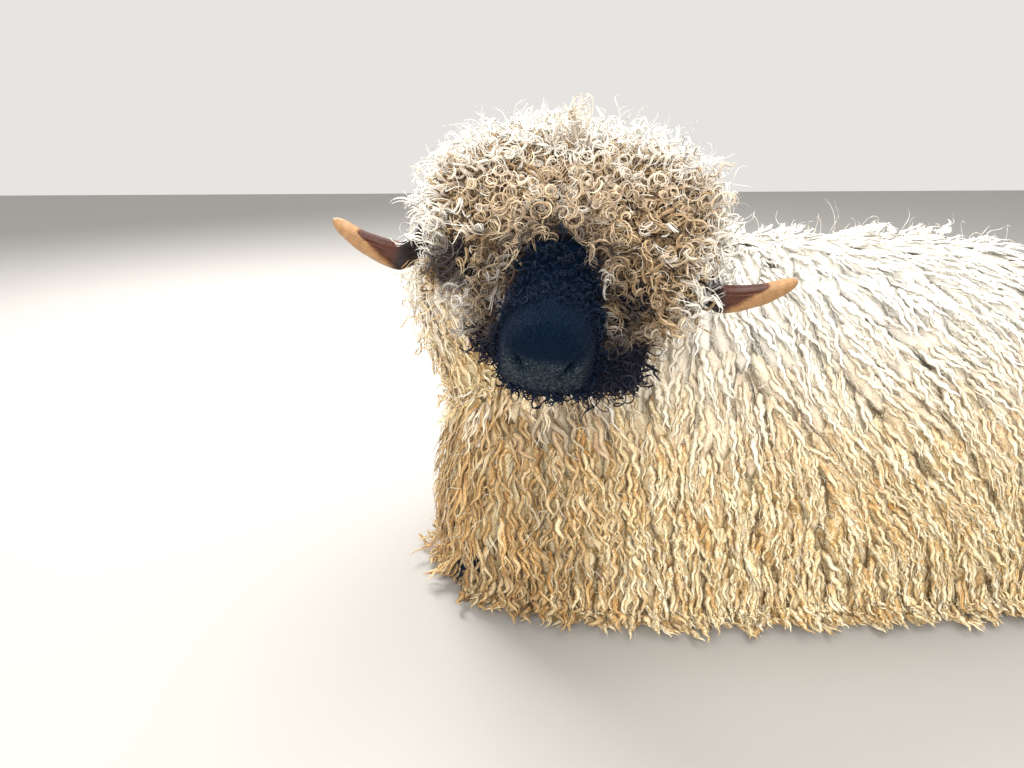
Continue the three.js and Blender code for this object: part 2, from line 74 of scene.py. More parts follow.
# a curve through points, the same as in the solids: t runs from 0 to 1
def curvePoint(points, t):
    last = len(points) - 1
    t = np.clip(np.asarray(t, float), 0, 1) * last
    i = np.minimum(t.astype(int), last - 1)
    w = (t - i)[..., None]
    padded = np.vstack([2 * points[0] - points[1], points, 2 * points[-1] - points[-2]])
    a, b, c, d = (padded[i + k] for k in range(4))
    pairs = ((a, b), (b, c), (c, d))
    gapAb, gapBc, gapCd = (((q - p) ** 2).sum(-1, keepdims=True) ** 0.25 for p, q in pairs)
    gapBc = np.where(gapBc < 1e-4, 1, gapBc)
    gapAb = np.where(gapAb < 1e-4, gapBc, gapAb)
    gapCd = np.where(gapCd < 1e-4, gapBc, gapCd)
    out = ((b - a) / gapAb - (c - a) / (gapAb + gapBc) + (c - b) / gapBc) * gapBc
    into = ((c - b) / gapBc - (d - b) / (gapBc + gapCd) + (d - c) / gapCd) * gapBc
    return b + out * w + (-3 * b + 3 * c - 2 * out - into) * w ** 2 + (2 * b - 2 * c + out + into) * w ** 3


# a body form: centre, half width, height above and depth below at stations, in millimetres
class Form:
    def __init__(self, stations, side, roundness=2.0, domes=(0.12, 0.12)):
        self.centres = np.array([s[0] for s in stations], float)
        self.sizes = np.array([s[1:4] for s in stations], float)
        self.side = np.array(side, float)
        self.roundness = roundness
        self.domes = domes

    def frameAt(self, t):
        after, before = np.minimum(t + 1e-4, 1), np.maximum(t - 1e-4, 0)
        tangent = unit(curvePoint(self.centres, after) - curvePoint(self.centres, before))
        side = unit(self.side - tangent * dot(tangent, self.side))
        return curvePoint(self.centres, t), tangent, side, np.cross(tangent, side)

    def surface(self, t, angle):
        start, end = self.domes
        near = np.where(t < start, 1 - t / start, np.where(t > 1 - end, 1 - (1 - t) / end, 0))
        full = np.sqrt(np.maximum(1 - near ** 2, 0))[..., None]
        centre, _, side, above = self.frameAt(t)
        size = curvePoint(self.sizes, t) * full
        x, y = (np.sign(v) * np.abs(v) ** (2 / self.roundness) for v in (np.cos(angle), np.sin(angle)))
        tall = np.where(y > 0, size[..., 1], size[..., 2])
        return centre + side * (size[..., 0] * x)[..., None] + above * (tall * y)[..., None]

    def slopes(self, t, angle):
        low, high = np.clip(t - 0.004, 0, 1), np.clip(t + 0.004, 0, 1)
        lengthways = (self.surface(high, angle) - self.surface(low, angle)) / (high - low)[..., None]
        around = (self.surface(t, angle + 0.004) - self.surface(t, angle - 0.004)) / 0.008
        normal = unit(np.cross(lengthways, around))
        outward = self.surface(t, angle) - self.frameAt(t)[0]
        normal = np.where(dot(normal, outward) < 0, -normal, normal)
        return lengthways, around, normal

    def point(self, t, angle, height=0.0):
        centre, tangent, _, _ = self.frameAt(t)
        ends = centre + tangent * np.where(t <= 0, -height, height)[..., None]
        inner = np.clip(t, 1e-3, 1 - 1e-3)
        body = self.surface(inner, angle) + self.slopes(inner, angle)[2] * height
        return np.where(((t <= 0) | (t >= 1))[..., None], ends, body)


# the head's own frame: s to its left, f along the face, u up from the brow
headPose = {"poll": (-304, -234, 609), "turn": 13, "slope": 34, "roll": 8, "length": 267}
turn, slope, roll = (math.radians(headPose[k]) for k in ("turn", "slope", "roll"))
poll = np.array(headPose["poll"], float)
faceward = np.array([-math.sin(turn) * math.cos(slope), -math.cos(turn) * math.cos(slope), -math.sin(slope)])
levelLeft = unit(np.cross((0, 0, 1), faceward))
headLeft = levelLeft * math.cos(roll) - np.cross(faceward, levelLeft) * math.sin(roll)
headUp = np.cross(faceward, headLeft)


def onHead(s, f, u):
    return poll + headLeft * s + faceward * f + headUp * u


def headPlace(points):  # s, f and u in millimetres of points in metres
    away = np.asarray(points) * 1000 - poll
    return away @ headLeft, away @ faceward, away @ headUp


def fromHead(points, place):  # metres from a place in the head's frame
    return np.linalg.norm(points - onHead(*place) / 1000, axis=-1)


trunkForm = Form([
    ((-425, 0, 240), 130, 145, 215), ((-350, 0, 225), 165, 200, 250), ((-260, 0, 220), 182, 246, 310),
    ((-120, 0, 215), 190, 270, 400), ((60, 0, 210), 194, 274, 400), ((250, 0, 215), 192, 268, 400),
    ((385, 0, 220), 180, 248, 400), ((478, 0, 225), 138, 180, 350)], (0, 1, 0), 2.3, (0.16, 0.17))
neckForm = Form([
    ((-225, 5, 310), 120, 120, 120), ((-318, -10, 390), 112, 128, 140), ((-362, -75, 480), 96, 98, 105),
    ((-330, -160, 548), 84, 78, 84), (onHead(0, 40, -45), 72, 60, 60)], (0.25, 1, 0.2), 2.0, (0.1, 0.12))
skullForm = Form([
    (onHead(0, -38, -25), 52, 58, 48), (onHead(0, 0, -25), 62, 70, 60), (onHead(0, 45, -27), 68, 78, 72),
    (onHead(0, 95, -27), 70, 76, 76), (onHead(0, 140, -24), 56, 67, 68), (onHead(0, 185, -20), 45, 56, 58),
    (onHead(0, 230, -20), 46, 46, 70), (onHead(0, 267, -22), 42, 30, 64)], -headLeft, 2.2, (0.12, 0.07))
topknotForm = Form([
    (onHead(0, -92, -30), 166, 98, 92), (onHead(3, -30, -22), 184, 112, 102),
    (onHead(8, 40, -26), 188, 120, 110), (onHead(6, 110, -36), 166, 105, 100),
    (onHead(0, 165, -52), 122, 72, 74), (onHead(0, 225, -68), 86, 38, 46)],
    -headLeft, 2.3, (0.3, 0.3))
beardForm = Form([
    (onHead(4, 110, -62), 100, 34, 44), (onHead(12, 165, -68), 112, 34, 44),
    (onHead(13, 210, -74), 105, 28, 36), (onHead(7, 250, -72), 72, 18, 22)], -headLeft, 2.2, (0.25, 0.3))
forelegForms = {hand: Form([
    ((-215, y * 118, 120), 40, 40, 40), ((-320, y * 110, 92), 32, 30, 30), ((-404, y * 100, 58), 29, 29, 29),
    ((-424, y * 92, 36), 26, 22, 22), ((-360, y * 80, 24), 18, 16, 16), ((-270, y * 70, 26), 19, 17, 17),
    ((-222, y * 64, 26), 18, 15, 15)], (0, 1, 0), 2.0, (0.1, 0.08))
    for hand, y in (("left", -1), ("right", 1))}
hindlegForms = {
    "right": Form([
        ((195, 188, 138), 46, 46, 46), ((300, 220, 98), 40, 40, 40), ((390, 250, 60), 28, 30, 30),
        ((372, 284, 40), 22, 22, 22), ((300, 312, 30), 18, 17, 17), ((232, 336, 27), 20, 17, 17),
        ((196, 350, 24), 18, 14, 14)], (-1, 0, 0), 2.0, (0.15, 0.1)),
    "left": Form([
        ((235, 130, 32), 18, 18, 18), ((190, 200, 28), 17, 17, 17), ((140, 265, 26), 20, 17, 17),
        ((104, 306, 24), 18, 14, 14)], (-1, 0, 0), 2.0, (0.15, 0.1))}
legForms = [*forelegForms.values(), *hindlegForms.values()]
tailForm = Form([
    ((462, 0, 400), 26, 20, 20), ((512, -4, 330), 24, 18, 18), ((530, -10, 220), 20, 15, 15),
    ((538, -14, 110), 16, 12, 12), ((540, -16, -12), 12, 10, 10)], (0, -1, 0), 2.0, (0.1, 0.1))
earSet = {"stations": ((56, 38, -18, 14, 7), (88, 70, -30, 20, 7), (118, 92, -46, 19, 6),
                       (150, 106, -66, 12, 5)),
          "domes": (0.2, 0.5), "cup": 4, "tilt": 0.6}
hornSet = {"stations": ((30, 24, 22, 23, 15), (70, -8, 18, 22, 14), (112, -14, -6, 20, 12),
                        (146, 30, -38, 21, 12), (172, 92, -50, 20, 11), (214, 102, -31, 14, 9),
                        (251, 96, -8, 7, 6)),
           "domes": (0.05, 0.06), "hollow": 5.0, "hollowAbove": 0.25, "flute": 0.5, "flutes": 14, "rings": 66,
           "ringHeight": 0.3, "rim": (0.66, 0.91), "rimEdge": 0.06}
hands = {"left": 1, "right": -1}


def pairedForm(setting, hand, side, roundness):  # an ear or a horn, mirrored across the head
    stations = [(onHead(hands[hand] * s, f, u), wide, thick, thick)
                for s, f, u, wide, thick in setting["stations"]]
    return Form(stations, side, roundness, setting["domes"])


earForms = [pairedForm(earSet, hand, headUp + faceward * earSet["tilt"], 2.0) for hand in hands]


# a form as a mesh: a sphere's rows and columns laid over it
def addForm(bm, form, columns, rows, height=0.0, bend=None):
    verts = bmesh.ops.create_uvsphere(bm, u_segments=columns, v_segments=rows, radius=1)["verts"]
    ball = np.array([v.co for v in verts])
    share = np.arccos(np.clip(ball[:, 2], -1, 1)) / math.pi
    share = np.where(share < 1e-4, 0, np.where(share > 1 - 1e-4, 1, share))
    angle = np.arctan2(ball[:, 1], ball[:, 0])
    t = np.where((share > 0) & (share < 1), mix(share, 0.5 - 0.5 * np.cos(math.pi * share), 0.6), share)
    places = form.point(t, angle, height)
    if bend is not None:
        places = places + bend(t, angle)
    for vert, place in zip(verts, places / 1000):
        vert.co = place
    bmesh.ops.recalc_face_normals(bm, faces=list(dict.fromkeys(f for v in verts for f in v.link_faces)))
    return verts, t, angle


def makePiece(name, bm, material=None, smooth=True):
    mesh = bpy.data.meshes.new(name)
    bm.to_mesh(mesh)
    bm.free()
    if smooth:
        mesh.shade_smooth()
    if material:
        mesh.materials.append(material)
    piece = bpy.data.objects.new(name, mesh)
    bpy.context.scene.collection.objects.link(piece)
    return piece


def applyModifiers(piece):
    made = bpy.data.meshes.new_from_object(piece.evaluated_get(bpy.context.evaluated_depsgraph_get()))
    old = piece.data
    piece.modifiers.clear()
    piece.data = made
    bpy.data.meshes.remove(old)
    made.name = piece.name


def vectorsOf(items, field):
    flat = np.empty(len(items) * 3, np.float32)
    items.foreach_get(field, flat)
    return flat.reshape(-1, 3).astype(float)


def addAttribute(mesh, name, kind, values):
    layer = mesh.attributes.new(name, kind, "POINT")
    field = "vector" if kind == "FLOAT_VECTOR" else "value"
    layer.data.foreach_set(field, np.asarray(values, np.float32).ravel())


# markings of skin and coat: how black and how brown, at points in metres; the other sizes are millimetres
markSet = {
    "centre": (0, 150, -30), "reach": 0.2, "halfWidth": (24, 44), "widening": (135, 205), "brow": 138,
    "black": (2, 20), "brown": (18, 92), "brownStart": (70, 130),
    "beard": (176, 200), "beardSide": (112, 130), "beardBlack": 0.75,
    "joints": (38, 62), "jointHeight": (0.10, 0.16), "jointBlack": 0.9,
    "patches": (((-106, 120, -20), (20, 42), 0.45), ((78, 152, -16), (15, 34), 0.8),
                ((168, 108, -22), (8, 22), 0.5))}
jointSpots = np.array([(-418, -96, 46), (-418, 96, 46), (388, 258, 56), (-222, -64, 20), (-222, 64, 20),
                       (100, 312, 20), (190, 352, 20), (-360, -80, 24), (-360, 80, 24)], float) / 1000


def wander(points, size, seed=0.0):  # a slow random field from a few waves
    value = 0
    for k in range(5):
        angle = seed + k * 2.4
        axis = np.array([math.cos(angle), math.sin(angle * 1.7), math.sin(angle)]) * (0.7 + 0.35 * k)
        value = value + np.sin(points @ axis * (2 * math.pi / size) + k * 1.9 + seed)
    return value / 5


def markings(points):
    s, f, u = headPlace(points)
    near = (fromHead(points, markSet["centre"]) < markSet["reach"]) * 1.0
    start, end = markSet["widening"]
    halfWidth = mix(*markSet["halfWidth"], np.clip((f - start) / (end - start), 0, 1))
    off = np.maximum(np.abs(s - 3) - halfWidth, 0) + 1.5 * np.maximum(markSet["brow"] - f, 0)
    off = off + 12 * wander(points, 0.05, 1.0) * np.clip(off / 12, 0, 1)
    black = near * (1 - ramp(off, *markSet["black"]))
    mottle = 0.85 + 0.5 * wander(points, 0.035, 5.0)
    brown = near * (1 - ramp(off - 6 + 16 * (s > 0), *markSet["brown"])) * ramp(f, *markSet["brownStart"])
    brown = brown * mottle
    beard = f + 0.25 * np.maximum(-u - 30, 0) + 16 * ramp(s, 50, 90) + 10 * wander(points, 0.04, 3.0)
    beard = near * ramp(beard, *markSet["beard"]) * (1 - ramp(np.abs(s - 10), *markSet["beardSide"]))
    beard = beard * (u < 10)
    black = np.maximum(black, beard * markSet["beardBlack"])
    brown = np.maximum(np.maximum(brown, black), beard)
    for place, reach, depth in markSet["patches"]:
        spot = 1 - ramp(fromHead(points, place) * 1000 + 5 * wander(points, 0.03, 2.0), *reach)
        black = np.maximum(black, spot * depth)
        brown = np.maximum(brown, spot * 0.95)
    joints = np.linalg.norm(points[:, None] - jointSpots[None], axis=-1).min(1) * 1000
    spot = 1 - ramp(joints + 8 * wander(points, 0.06, 3.0), *markSet["joints"])
    low = 1 - ramp(points[:, 2], *markSet["jointHeight"])
    black = np.maximum(black, spot * low * markSet["jointBlack"])
    brown = np.maximum(brown, spot * low)
    return np.clip(np.stack([black, brown], -1), 0, 1)


def withPale(marks, pale=0.0):  # black, brown and pale shares as the coat's attribute; on the coat the pale share paints light on lit tops and rims
    return np.column_stack([marks, np.broadcast_to(pale, len(marks))])


# skin: every form of flesh joined into one surface, under the wool
skinSet = {"voxel": 0.0066, "smooth": 0.5, "rounds": 4, "floor": 0.0006,
           "trunk": 20, "neck": 20, "topknot": -30, "leg": 0, "tail": 6, "beard": -17}
bm = bmesh.new()
for form, columns, rows, height in (
        (trunkForm, 96, 80, "trunk"), (neckForm, 64, 56, "neck"), (topknotForm, 64, 56, "topknot"),
        (beardForm, 48, 40, "beard"), (skullForm, 64, 72, None), (tailForm, 24, 48, "tail"),
        *((form, 32, 64, "leg") for form in legForms)):
    addForm(bm, form, columns, rows, skinSet[height] if height else 0)


def earCup(t, angle):
    facing = unit(faceward - headUp * earSet["tilt"])
    return facing * (earSet["cup"] * np.cos(angle) ** 2 * np.sin(math.pi * t) ** 0.5)[:, None]


for form in earForms:
    addForm(bm, form, 32, 32, 0, earCup)
skin = makePiece("skin", bm)
remesh = skin.modifiers.new("join", "REMESH")
remesh.mode = "VOXEL"
remesh.voxel_size = skinSet["voxel"]
smooth = skin.modifiers.new("smooth", "SMOOTH")
smooth.factor = skinSet["smooth"]
smooth.iterations = skinSet["rounds"]
applyModifiers(skin)
places = vectorsOf(skin.data.vertices, "co")
places[:, 2] = np.maximum(places[:, 2], skinSet["floor"])
skin.data.vertices.foreach_set("co", places.astype(np.float32).ravel())
print("skin joined", len(skin.data.vertices))

# the face gets finer rows, then nostrils, lips and lids
faceSet = {"finer": 150, "nostril": (23, 0), "nostrilDepth": 11.0, "wings": (2.8, 3.4), "groove": 1.6,
           "mouth": (-41, 196), "mouthDepth": 3.6, "lips": (1.5, 1.9), "lid": 4.2, "socket": 5.0,
           "eye": (60, 96, 14), "eyeRadius": 13, "gaze": 0.35}
eyeS, eyeF, eyeU = faceSet["eye"]
bm = bmesh.new()
bm.from_mesh(skin.data)
for level in range(2):
    bm.edges.ensure_lookup_table()
    middles = np.array([((e.verts[0].co + e.verts[1].co) / 2)[:] for e in bm.edges])
    s, f, u = headPlace(middles)
    nearFace = (f > faceSet["finer"] + 12 * level) & (np.abs(s) < 64) & (u > -110) & (u < 60)
    for y in hands.values():
        nearFace |= np.sqrt((s - y * eyeS) ** 2 + (f - eyeF) ** 2 + (u - eyeU) ** 2) < 30 - 4 * level
    edges = [e for e, near in zip(bm.edges, nearFace) if near]
    bmesh.ops.subdivide_edges(bm, edges=edges, cuts=1, use_grid_fill=True)
bmesh.ops.triangulate(bm, faces=[f for f in bm.faces if len(f.verts) > 4])
bm.verts.ensure_lookup_table()
s, f, u = headPlace(np.array([v.co for v in bm.verts]))
nearFace = np.nonzero((f > 60) & (np.abs(s) < 110) & (u > -120) & (u < 90))[0]
faceVerts = [bm.verts[i] for i in nearFace]
bmesh.ops.smooth_vert(bm, verts=faceVerts, factor=0.5, use_axis_x=True, use_axis_y=True, use_axis_z=True)


def swell(distance, width):  # 1 in the middle, falling away softly
    return np.exp(-(distance / width) ** 2)


places = np.array([v.co for v in faceVerts])
normals = np.array([v.normal for v in faceVerts])
s, f, u = headPlace(places)
nostrilS, nostrilU = faceSet["nostril"]
mouthU, mouthF = faceSet["mouth"]
slant = (np.abs(s) - nostrilS) - 0.55 * (u - nostrilU)        # the slits lean outwards at the top
reach = swell(u - nostrilU - 1, 8) * (f > 235)
innerWing, outerWing = faceSet["wings"]
push = -faceSet["nostrilDepth"] * swell(slant, 3.8) * reach
push += innerWing * swell(slant + 8, 4.0) * reach + outerWing * swell(slant - 9.5, 4.5) * reach
push -= faceSet["groove"] * swell(s, 1.8) * swell(u + 24, 12) * (f > 240)      # the groove under the nose
lipLine = u - mouthU - 0.05 * (headPose["length"] - f) - 3 * swell(s, 12)
front = ramp(f, mouthF - 8, mouthF + 14) * (f > 150)
upperLip, lowerLip = faceSet["lips"]
push -= faceSet["mouthDepth"] * swell(lipLine, 1.9) * front
push += upperLip * swell(lipLine - 6, 4.0) * front + lowerLip * swell(lipLine + 7, 5.0) * front
for y in hands.values():
    out = unit(headLeft * y + faceward * faceSet["gaze"])
    away = places * 1000 - onHead(y * eyeS, eyeF, eyeU)
    across = np.linalg.norm(away - (away @ out)[:, None] * out, axis=-1)
    outside = (away @ out) > 0
    push += faceSet["lid"] * swell(across - 15.5, 3.2) * outside
    push -= faceSet["socket"] * swell(across, 9) * outside
for vert, place in zip(faceVerts, places + normals * push[:, None] / 1000):
    vert.co = place
bmesh.ops.recalc_face_normals(bm, faces=bm.faces)
bm.to_mesh(skin.data)
bm.free()
skin.data.shade_smooth()
skinPlaces = vectorsOf(skin.data.vertices, "co")
s, f, u = headPlace(skinPlaces)
nostrilHole = swell((np.abs(s) - nostrilS) - 0.55 * (u - nostrilU), 4.2) * swell(u - nostrilU - 1, 9)
bare = ramp(f, 228, 250) * (1 - ramp(np.abs(s), 34, 46)) * ramp(u, -50, -30) * (1 - ramp(u, 2, 18))
headWool = (1 - ramp(fromHead(skinPlaces, (0, 60, -30)), 0.20, 0.27)) * ramp(f, -50, 10)
# skin facing up takes the paler top tones: painted light from above
upward = ramp(vectorsOf(skin.data.vertex_normals, "vector")[:, 2], -0.2, 0.8)
addAttribute(skin.data, "marking", "FLOAT_VECTOR", withPale(markings(skinPlaces), bare * (1 - nostrilHole)))
addAttribute(skin.data, "headWool", "FLOAT", headWool)
addAttribute(skin.data, "paintedTopLight", "FLOAT", upward)
skinTree = BVHTree.FromPolygons(skinPlaces.tolist(), [tuple(p.vertices) for p in skin.data.polygons])
print("skin finished", len(skin.data.vertices))


def nearestOnSkin(points):
    found = [skinTree.find_nearest(p) for p in points.tolist()]
    return np.array([f[0][:] for f in found]), np.array([f[1][:] for f in found])


# short calls that add nodes to one tree and join them
class Wiring:
    def __init__(self, tree):
        self.nodes = tree.nodes
        self.links = tree.links

    def feed(self, socket, value):
        if isinstance(value, bpy.types.NodeSocket):
            self.links.new(value, socket)
        else:
            socket.default_value = (*value, 1) if socket.type == "RGBA" else value

    def add(self, kind, inputs, **settings):
        node = self.nodes.new("ShaderNode" + kind)
        for key, value in settings.items():
            setattr(node, key, value)
        for label, value in inputs.items():
            self.feed(node.inputs[label], value)
        return node

    def attribute(self, name, output="Vector"):
        return self.add("Attribute", {}, attribute_name=name).outputs[output]

    def split(self, vector):
        return self.add("SeparateXYZ", {"Vector": vector}).outputs

    def joined(self, **parts):
        return self.add("CombineXYZ", parts).outputs[0]

    def maths(self, operation, *values):
        node = self.add("Math", {}, operation=operation)
        for socket, value in zip(node.inputs, values):
            self.feed(socket, value)
        return node.outputs[0]

    def mixed(self, share, first, second, blend="MIX"):
        node = self.add("Mix", {"Factor": share}, data_type="RGBA", blend_type=blend)
        self.feed(node.inputs[6], first)
        self.feed(node.inputs[7], second)
        return node.outputs[2]

    def step(self, value, low, high, least=0.0, most=1.0):
        given = {"Value": value, "From Min": low, "From Max": high, "To Min": least, "To Max": most}
        return self.add("MapRange", given, interpolation_type="SMOOTHSTEP").outputs[0]

    def noise(self, vector, scale, detail=2.0, distortion=0.0):
        given = {"Vector": vector, "Scale": scale, "Detail": detail, "Distortion": distortion}
        return self.add("TexNoise", given).outputs["Fac"]

    def relief(self, shader, height, strength, distance):
        node = self.add("Bump", {"Height": height, "Strength": strength, "Distance": distance})
        self.links.new(node.outputs["Normal"], shader.inputs["Normal"])


def newMaterial(name, constants):
    material = bpy.data.materials.new(name)
    material.use_nodes = True
    wires = Wiring(material.node_tree)
    shader = wires.nodes["Principled BSDF"]
    for label, value in constants.items():
        wires.feed(shader.inputs[label], value)
    return material, wires, shader


# fibre grain: fine crimped lines along a strand, from its own fibre attribute in millimetres
fibreSet = {"drift": 0.06, "driftTurn": 22, "crimpWidth": 1.6, "across": 0.24, "lengthways": 0.045,
            "detail": 3.0, "shade": (0.40, 0.57), "crimpHeight": 0.06}
fibreGroup = bpy.data.node_groups.new("fibreGrain", "ShaderNodeTree")
for label, kind, way in (("Fibre", "Vector", "INPUT"), ("Crimp", "Float", "INPUT"),
                         ("Shade", "Float", "OUTPUT"), ("Height", "Float", "OUTPUT")):
    fibreGroup.interface.new_socket(label, in_out=way, socket_type="NodeSocket" + kind)
given = fibreGroup.nodes.new("NodeGroupInput").outputs
result = fibreGroup.nodes.new("NodeGroupOutput").inputs
wires = Wiring(fibreGroup)
parts = wires.split(given["Fibre"])
drift = wires.maths("MULTIPLY", wires.noise(given["Fibre"], fibreSet["drift"]), fibreSet["driftTurn"])
angle = wires.maths("DIVIDE", wires.maths("MULTIPLY", parts["Y"], 2 * math.pi), given["Crimp"])
waves = wires.maths("SINE", wires.maths("ADD", angle, drift))
bent = wires.maths("ADD", parts["X"], wires.maths("MULTIPLY", waves, fibreSet["crimpWidth"]))
stretched = wires.joined(X=wires.maths("MULTIPLY", bent, fibreSet["across"]),
                         Y=wires.maths("MULTIPLY", parts["Y"], fibreSet["lengthways"]), Z=parts["Z"])
lines = wires.noise(stretched, 1.0, fibreSet["detail"])
wires.links.new(wires.step(lines, *fibreSet["shade"]), result["Shade"])
height = wires.maths("ADD", wires.maths("MULTIPLY", waves, fibreSet["crimpHeight"]), lines)
wires.links.new(height, result["Height"])

# the hollow colour multiplies the wool's own between the fibres: partly the fibres' own grain, partly painted
# shade in the bump's grooves
coatLooks = {
    "fleece": {"root": (0.80, 0.54, 0.25), "middle": (0.96, 0.82, 0.53), "tip": (0.99, 0.93, 0.73),
               "hollow": (0.62, 0.47, 0.29), "crimp": 9, "specular": 0.2, "sheen": 0.08,
               "gloss": (1.0, 1.0, 1.0)},
    "topknotWool": {"root": (0.22, 0.145, 0.085), "middle": (0.60, 0.44, 0.26), "tip": (0.86, 0.72, 0.50),
                    "hollow": (0.72, 0.62, 0.50), "crimp": 12, "specular": 0.2, "sheen": 0.08,
                    "gloss": (1.0, 1.0, 1.0)},
    "faceWool": {"root": (0.22, 0.145, 0.085), "middle": (0.45, 0.33, 0.21), "tip": (0.62, 0.50, 0.36),
                 "hollow": (0.75, 0.68, 0.60), "crimp": 9, "specular": 0.30, "sheen": 0.0,
                 "gloss": (0.55, 0.65, 0.95)}}
# mark colours: X black, Y brown (also painted shadow on the chest), Z pale, which is painted light
markColours = {"Z": (0.97, 0.96, 0.91), "Y": (0.060, 0.036, 0.028), "X": (0.0018, 0.0075, 0.021)}


def coatMaterial(name, look):
    material, wires, shader = newMaterial(name, {
        "Roughness": 0.75, "Specular IOR Level": look["specular"], "Specular Tint": look["gloss"],
        "Sheen Weight": look["sheen"], "Sheen Roughness": 0.45, "Sheen Tint": (1.0, 0.92, 0.78),
        "Emission Strength": 0.06})                                # painted glow: the wool emits its own colour to lift its shade, in place of light scattered inside the wool
    fibre = {"Fibre": wires.attribute("fibre"), "Crimp": look["crimp"]}
    grain = wires.add("Group", fibre, node_tree=fibreGroup).outputs
    # darker towards the roots and lighter at the tips: partly the wool's own tint, partly painted shade deep
    # in the coat and painted light at its surface
    colours = wires.add("ValToRGB", {"Fac": wires.attribute("rootTip", "Fac")})
    root, tip = colours.color_ramp.elements
    root.color, root.position = (*look["root"], 1), 0.05
    tip.color, tip.position = (*look["tip"], 1), 1.0
    colours.color_ramp.elements.new(0.5).color = (*look["middle"], 1)
    plain = colours.outputs["Color"]
    # toward the low fibre lines the colour takes the hollow tone: grain and painted shade
    tone = wires.mixed(grain["Shade"], wires.mixed(1.0, plain, look["hollow"], "MULTIPLY"), plain)
    marks = wires.split(wires.attribute("marking"))
    for axis, colour in markColours.items():
        tone = wires.mixed(marks[axis], tone, colour)
    wires.links.new(tone, shader.inputs["Base Color"])
    # the same colour feeds the emission: a painted glow
    wires.links.new(tone, shader.inputs["Emission Color"])
    wires.relief(shader, grain["Height"], 0.8, 0.003)
    return material


fleeceMaterial, topknotMaterial, faceMaterial = (coatMaterial(name, look) for name, look in coatLooks.items())

# skin material: matted underwool, darker in its hollows and under the head's curls as painted shade, and
# short black hair on the face, ears and feet
skinTones = {
    "low": ((0.50, 0.34, 0.16), (0.95, 0.78, 0.48)), "top": ((0.50, 0.44, 0.35), (0.93, 0.90, 0.80)),
    "head": ((0.035, 0.022, 0.014), (0.30, 0.21, 0.12)), "brown": (0.035, 0.025, 0.02),
    "hair": ((0.0003, 0.003, 0.012), (0.003, 0.011, 0.028)),
    "nose": ((0.001, 0.004, 0.010), (0.55, 0.70, 0.85))}
skinMaterial, wires, shader = newMaterial("underwool", {
    "Specular IOR Level": 0.10, "Specular Tint": (0.5, 0.75, 1.0)})
place = wires.add("TexCoord", {}).outputs["Object"]
marks = wires.split(wires.attribute("marking"))
tufts = wires.noise(place, 160, 5, 2.2)
hairs = wires.noise(place, 520, 3)
# darker where the tufts' bump is low: partly texture, partly painted shade in the underwool's hollows
depth = wires.step(tufts, 0.40, 0.60)
low, top, head = (wires.mixed(depth, *skinTones[label]) for label in ("low", "top", "head"))
tone = wires.mixed(wires.attribute("paintedTopLight", "Fac"), low, top)
# dark brown under the head's curls: painted shade between the curls
tone = wires.mixed(wires.attribute("headWool", "Fac"), tone, head)
tone = wires.mixed(marks["Y"], tone, skinTones["brown"])
# the nose's dark tone with sparse bright flecks: painted glints on its short glossy hair
noseWithPaintedGlints = wires.mixed(wires.maths("POWER", hairs, 5.0), *skinTones["nose"])
hairTone = wires.mixed(marks["Z"], wires.mixed(hairs, *skinTones["hair"]), noseWithPaintedGlints)
wires.links.new(wires.mixed(marks["X"], tone, hairTone), shader.inputs["Base Color"])
wires.relief(shader, wires.maths("ADD", tufts, wires.maths("MULTIPLY", hairs, 0.5)), 0.9, 0.005)
wires.links.new(wires.maths("MULTIPLY_ADD", marks["Z"], -0.36, 0.72), shader.inputs["Roughness"])
skin.data.materials.append(skinMaterial)

triangles = {}


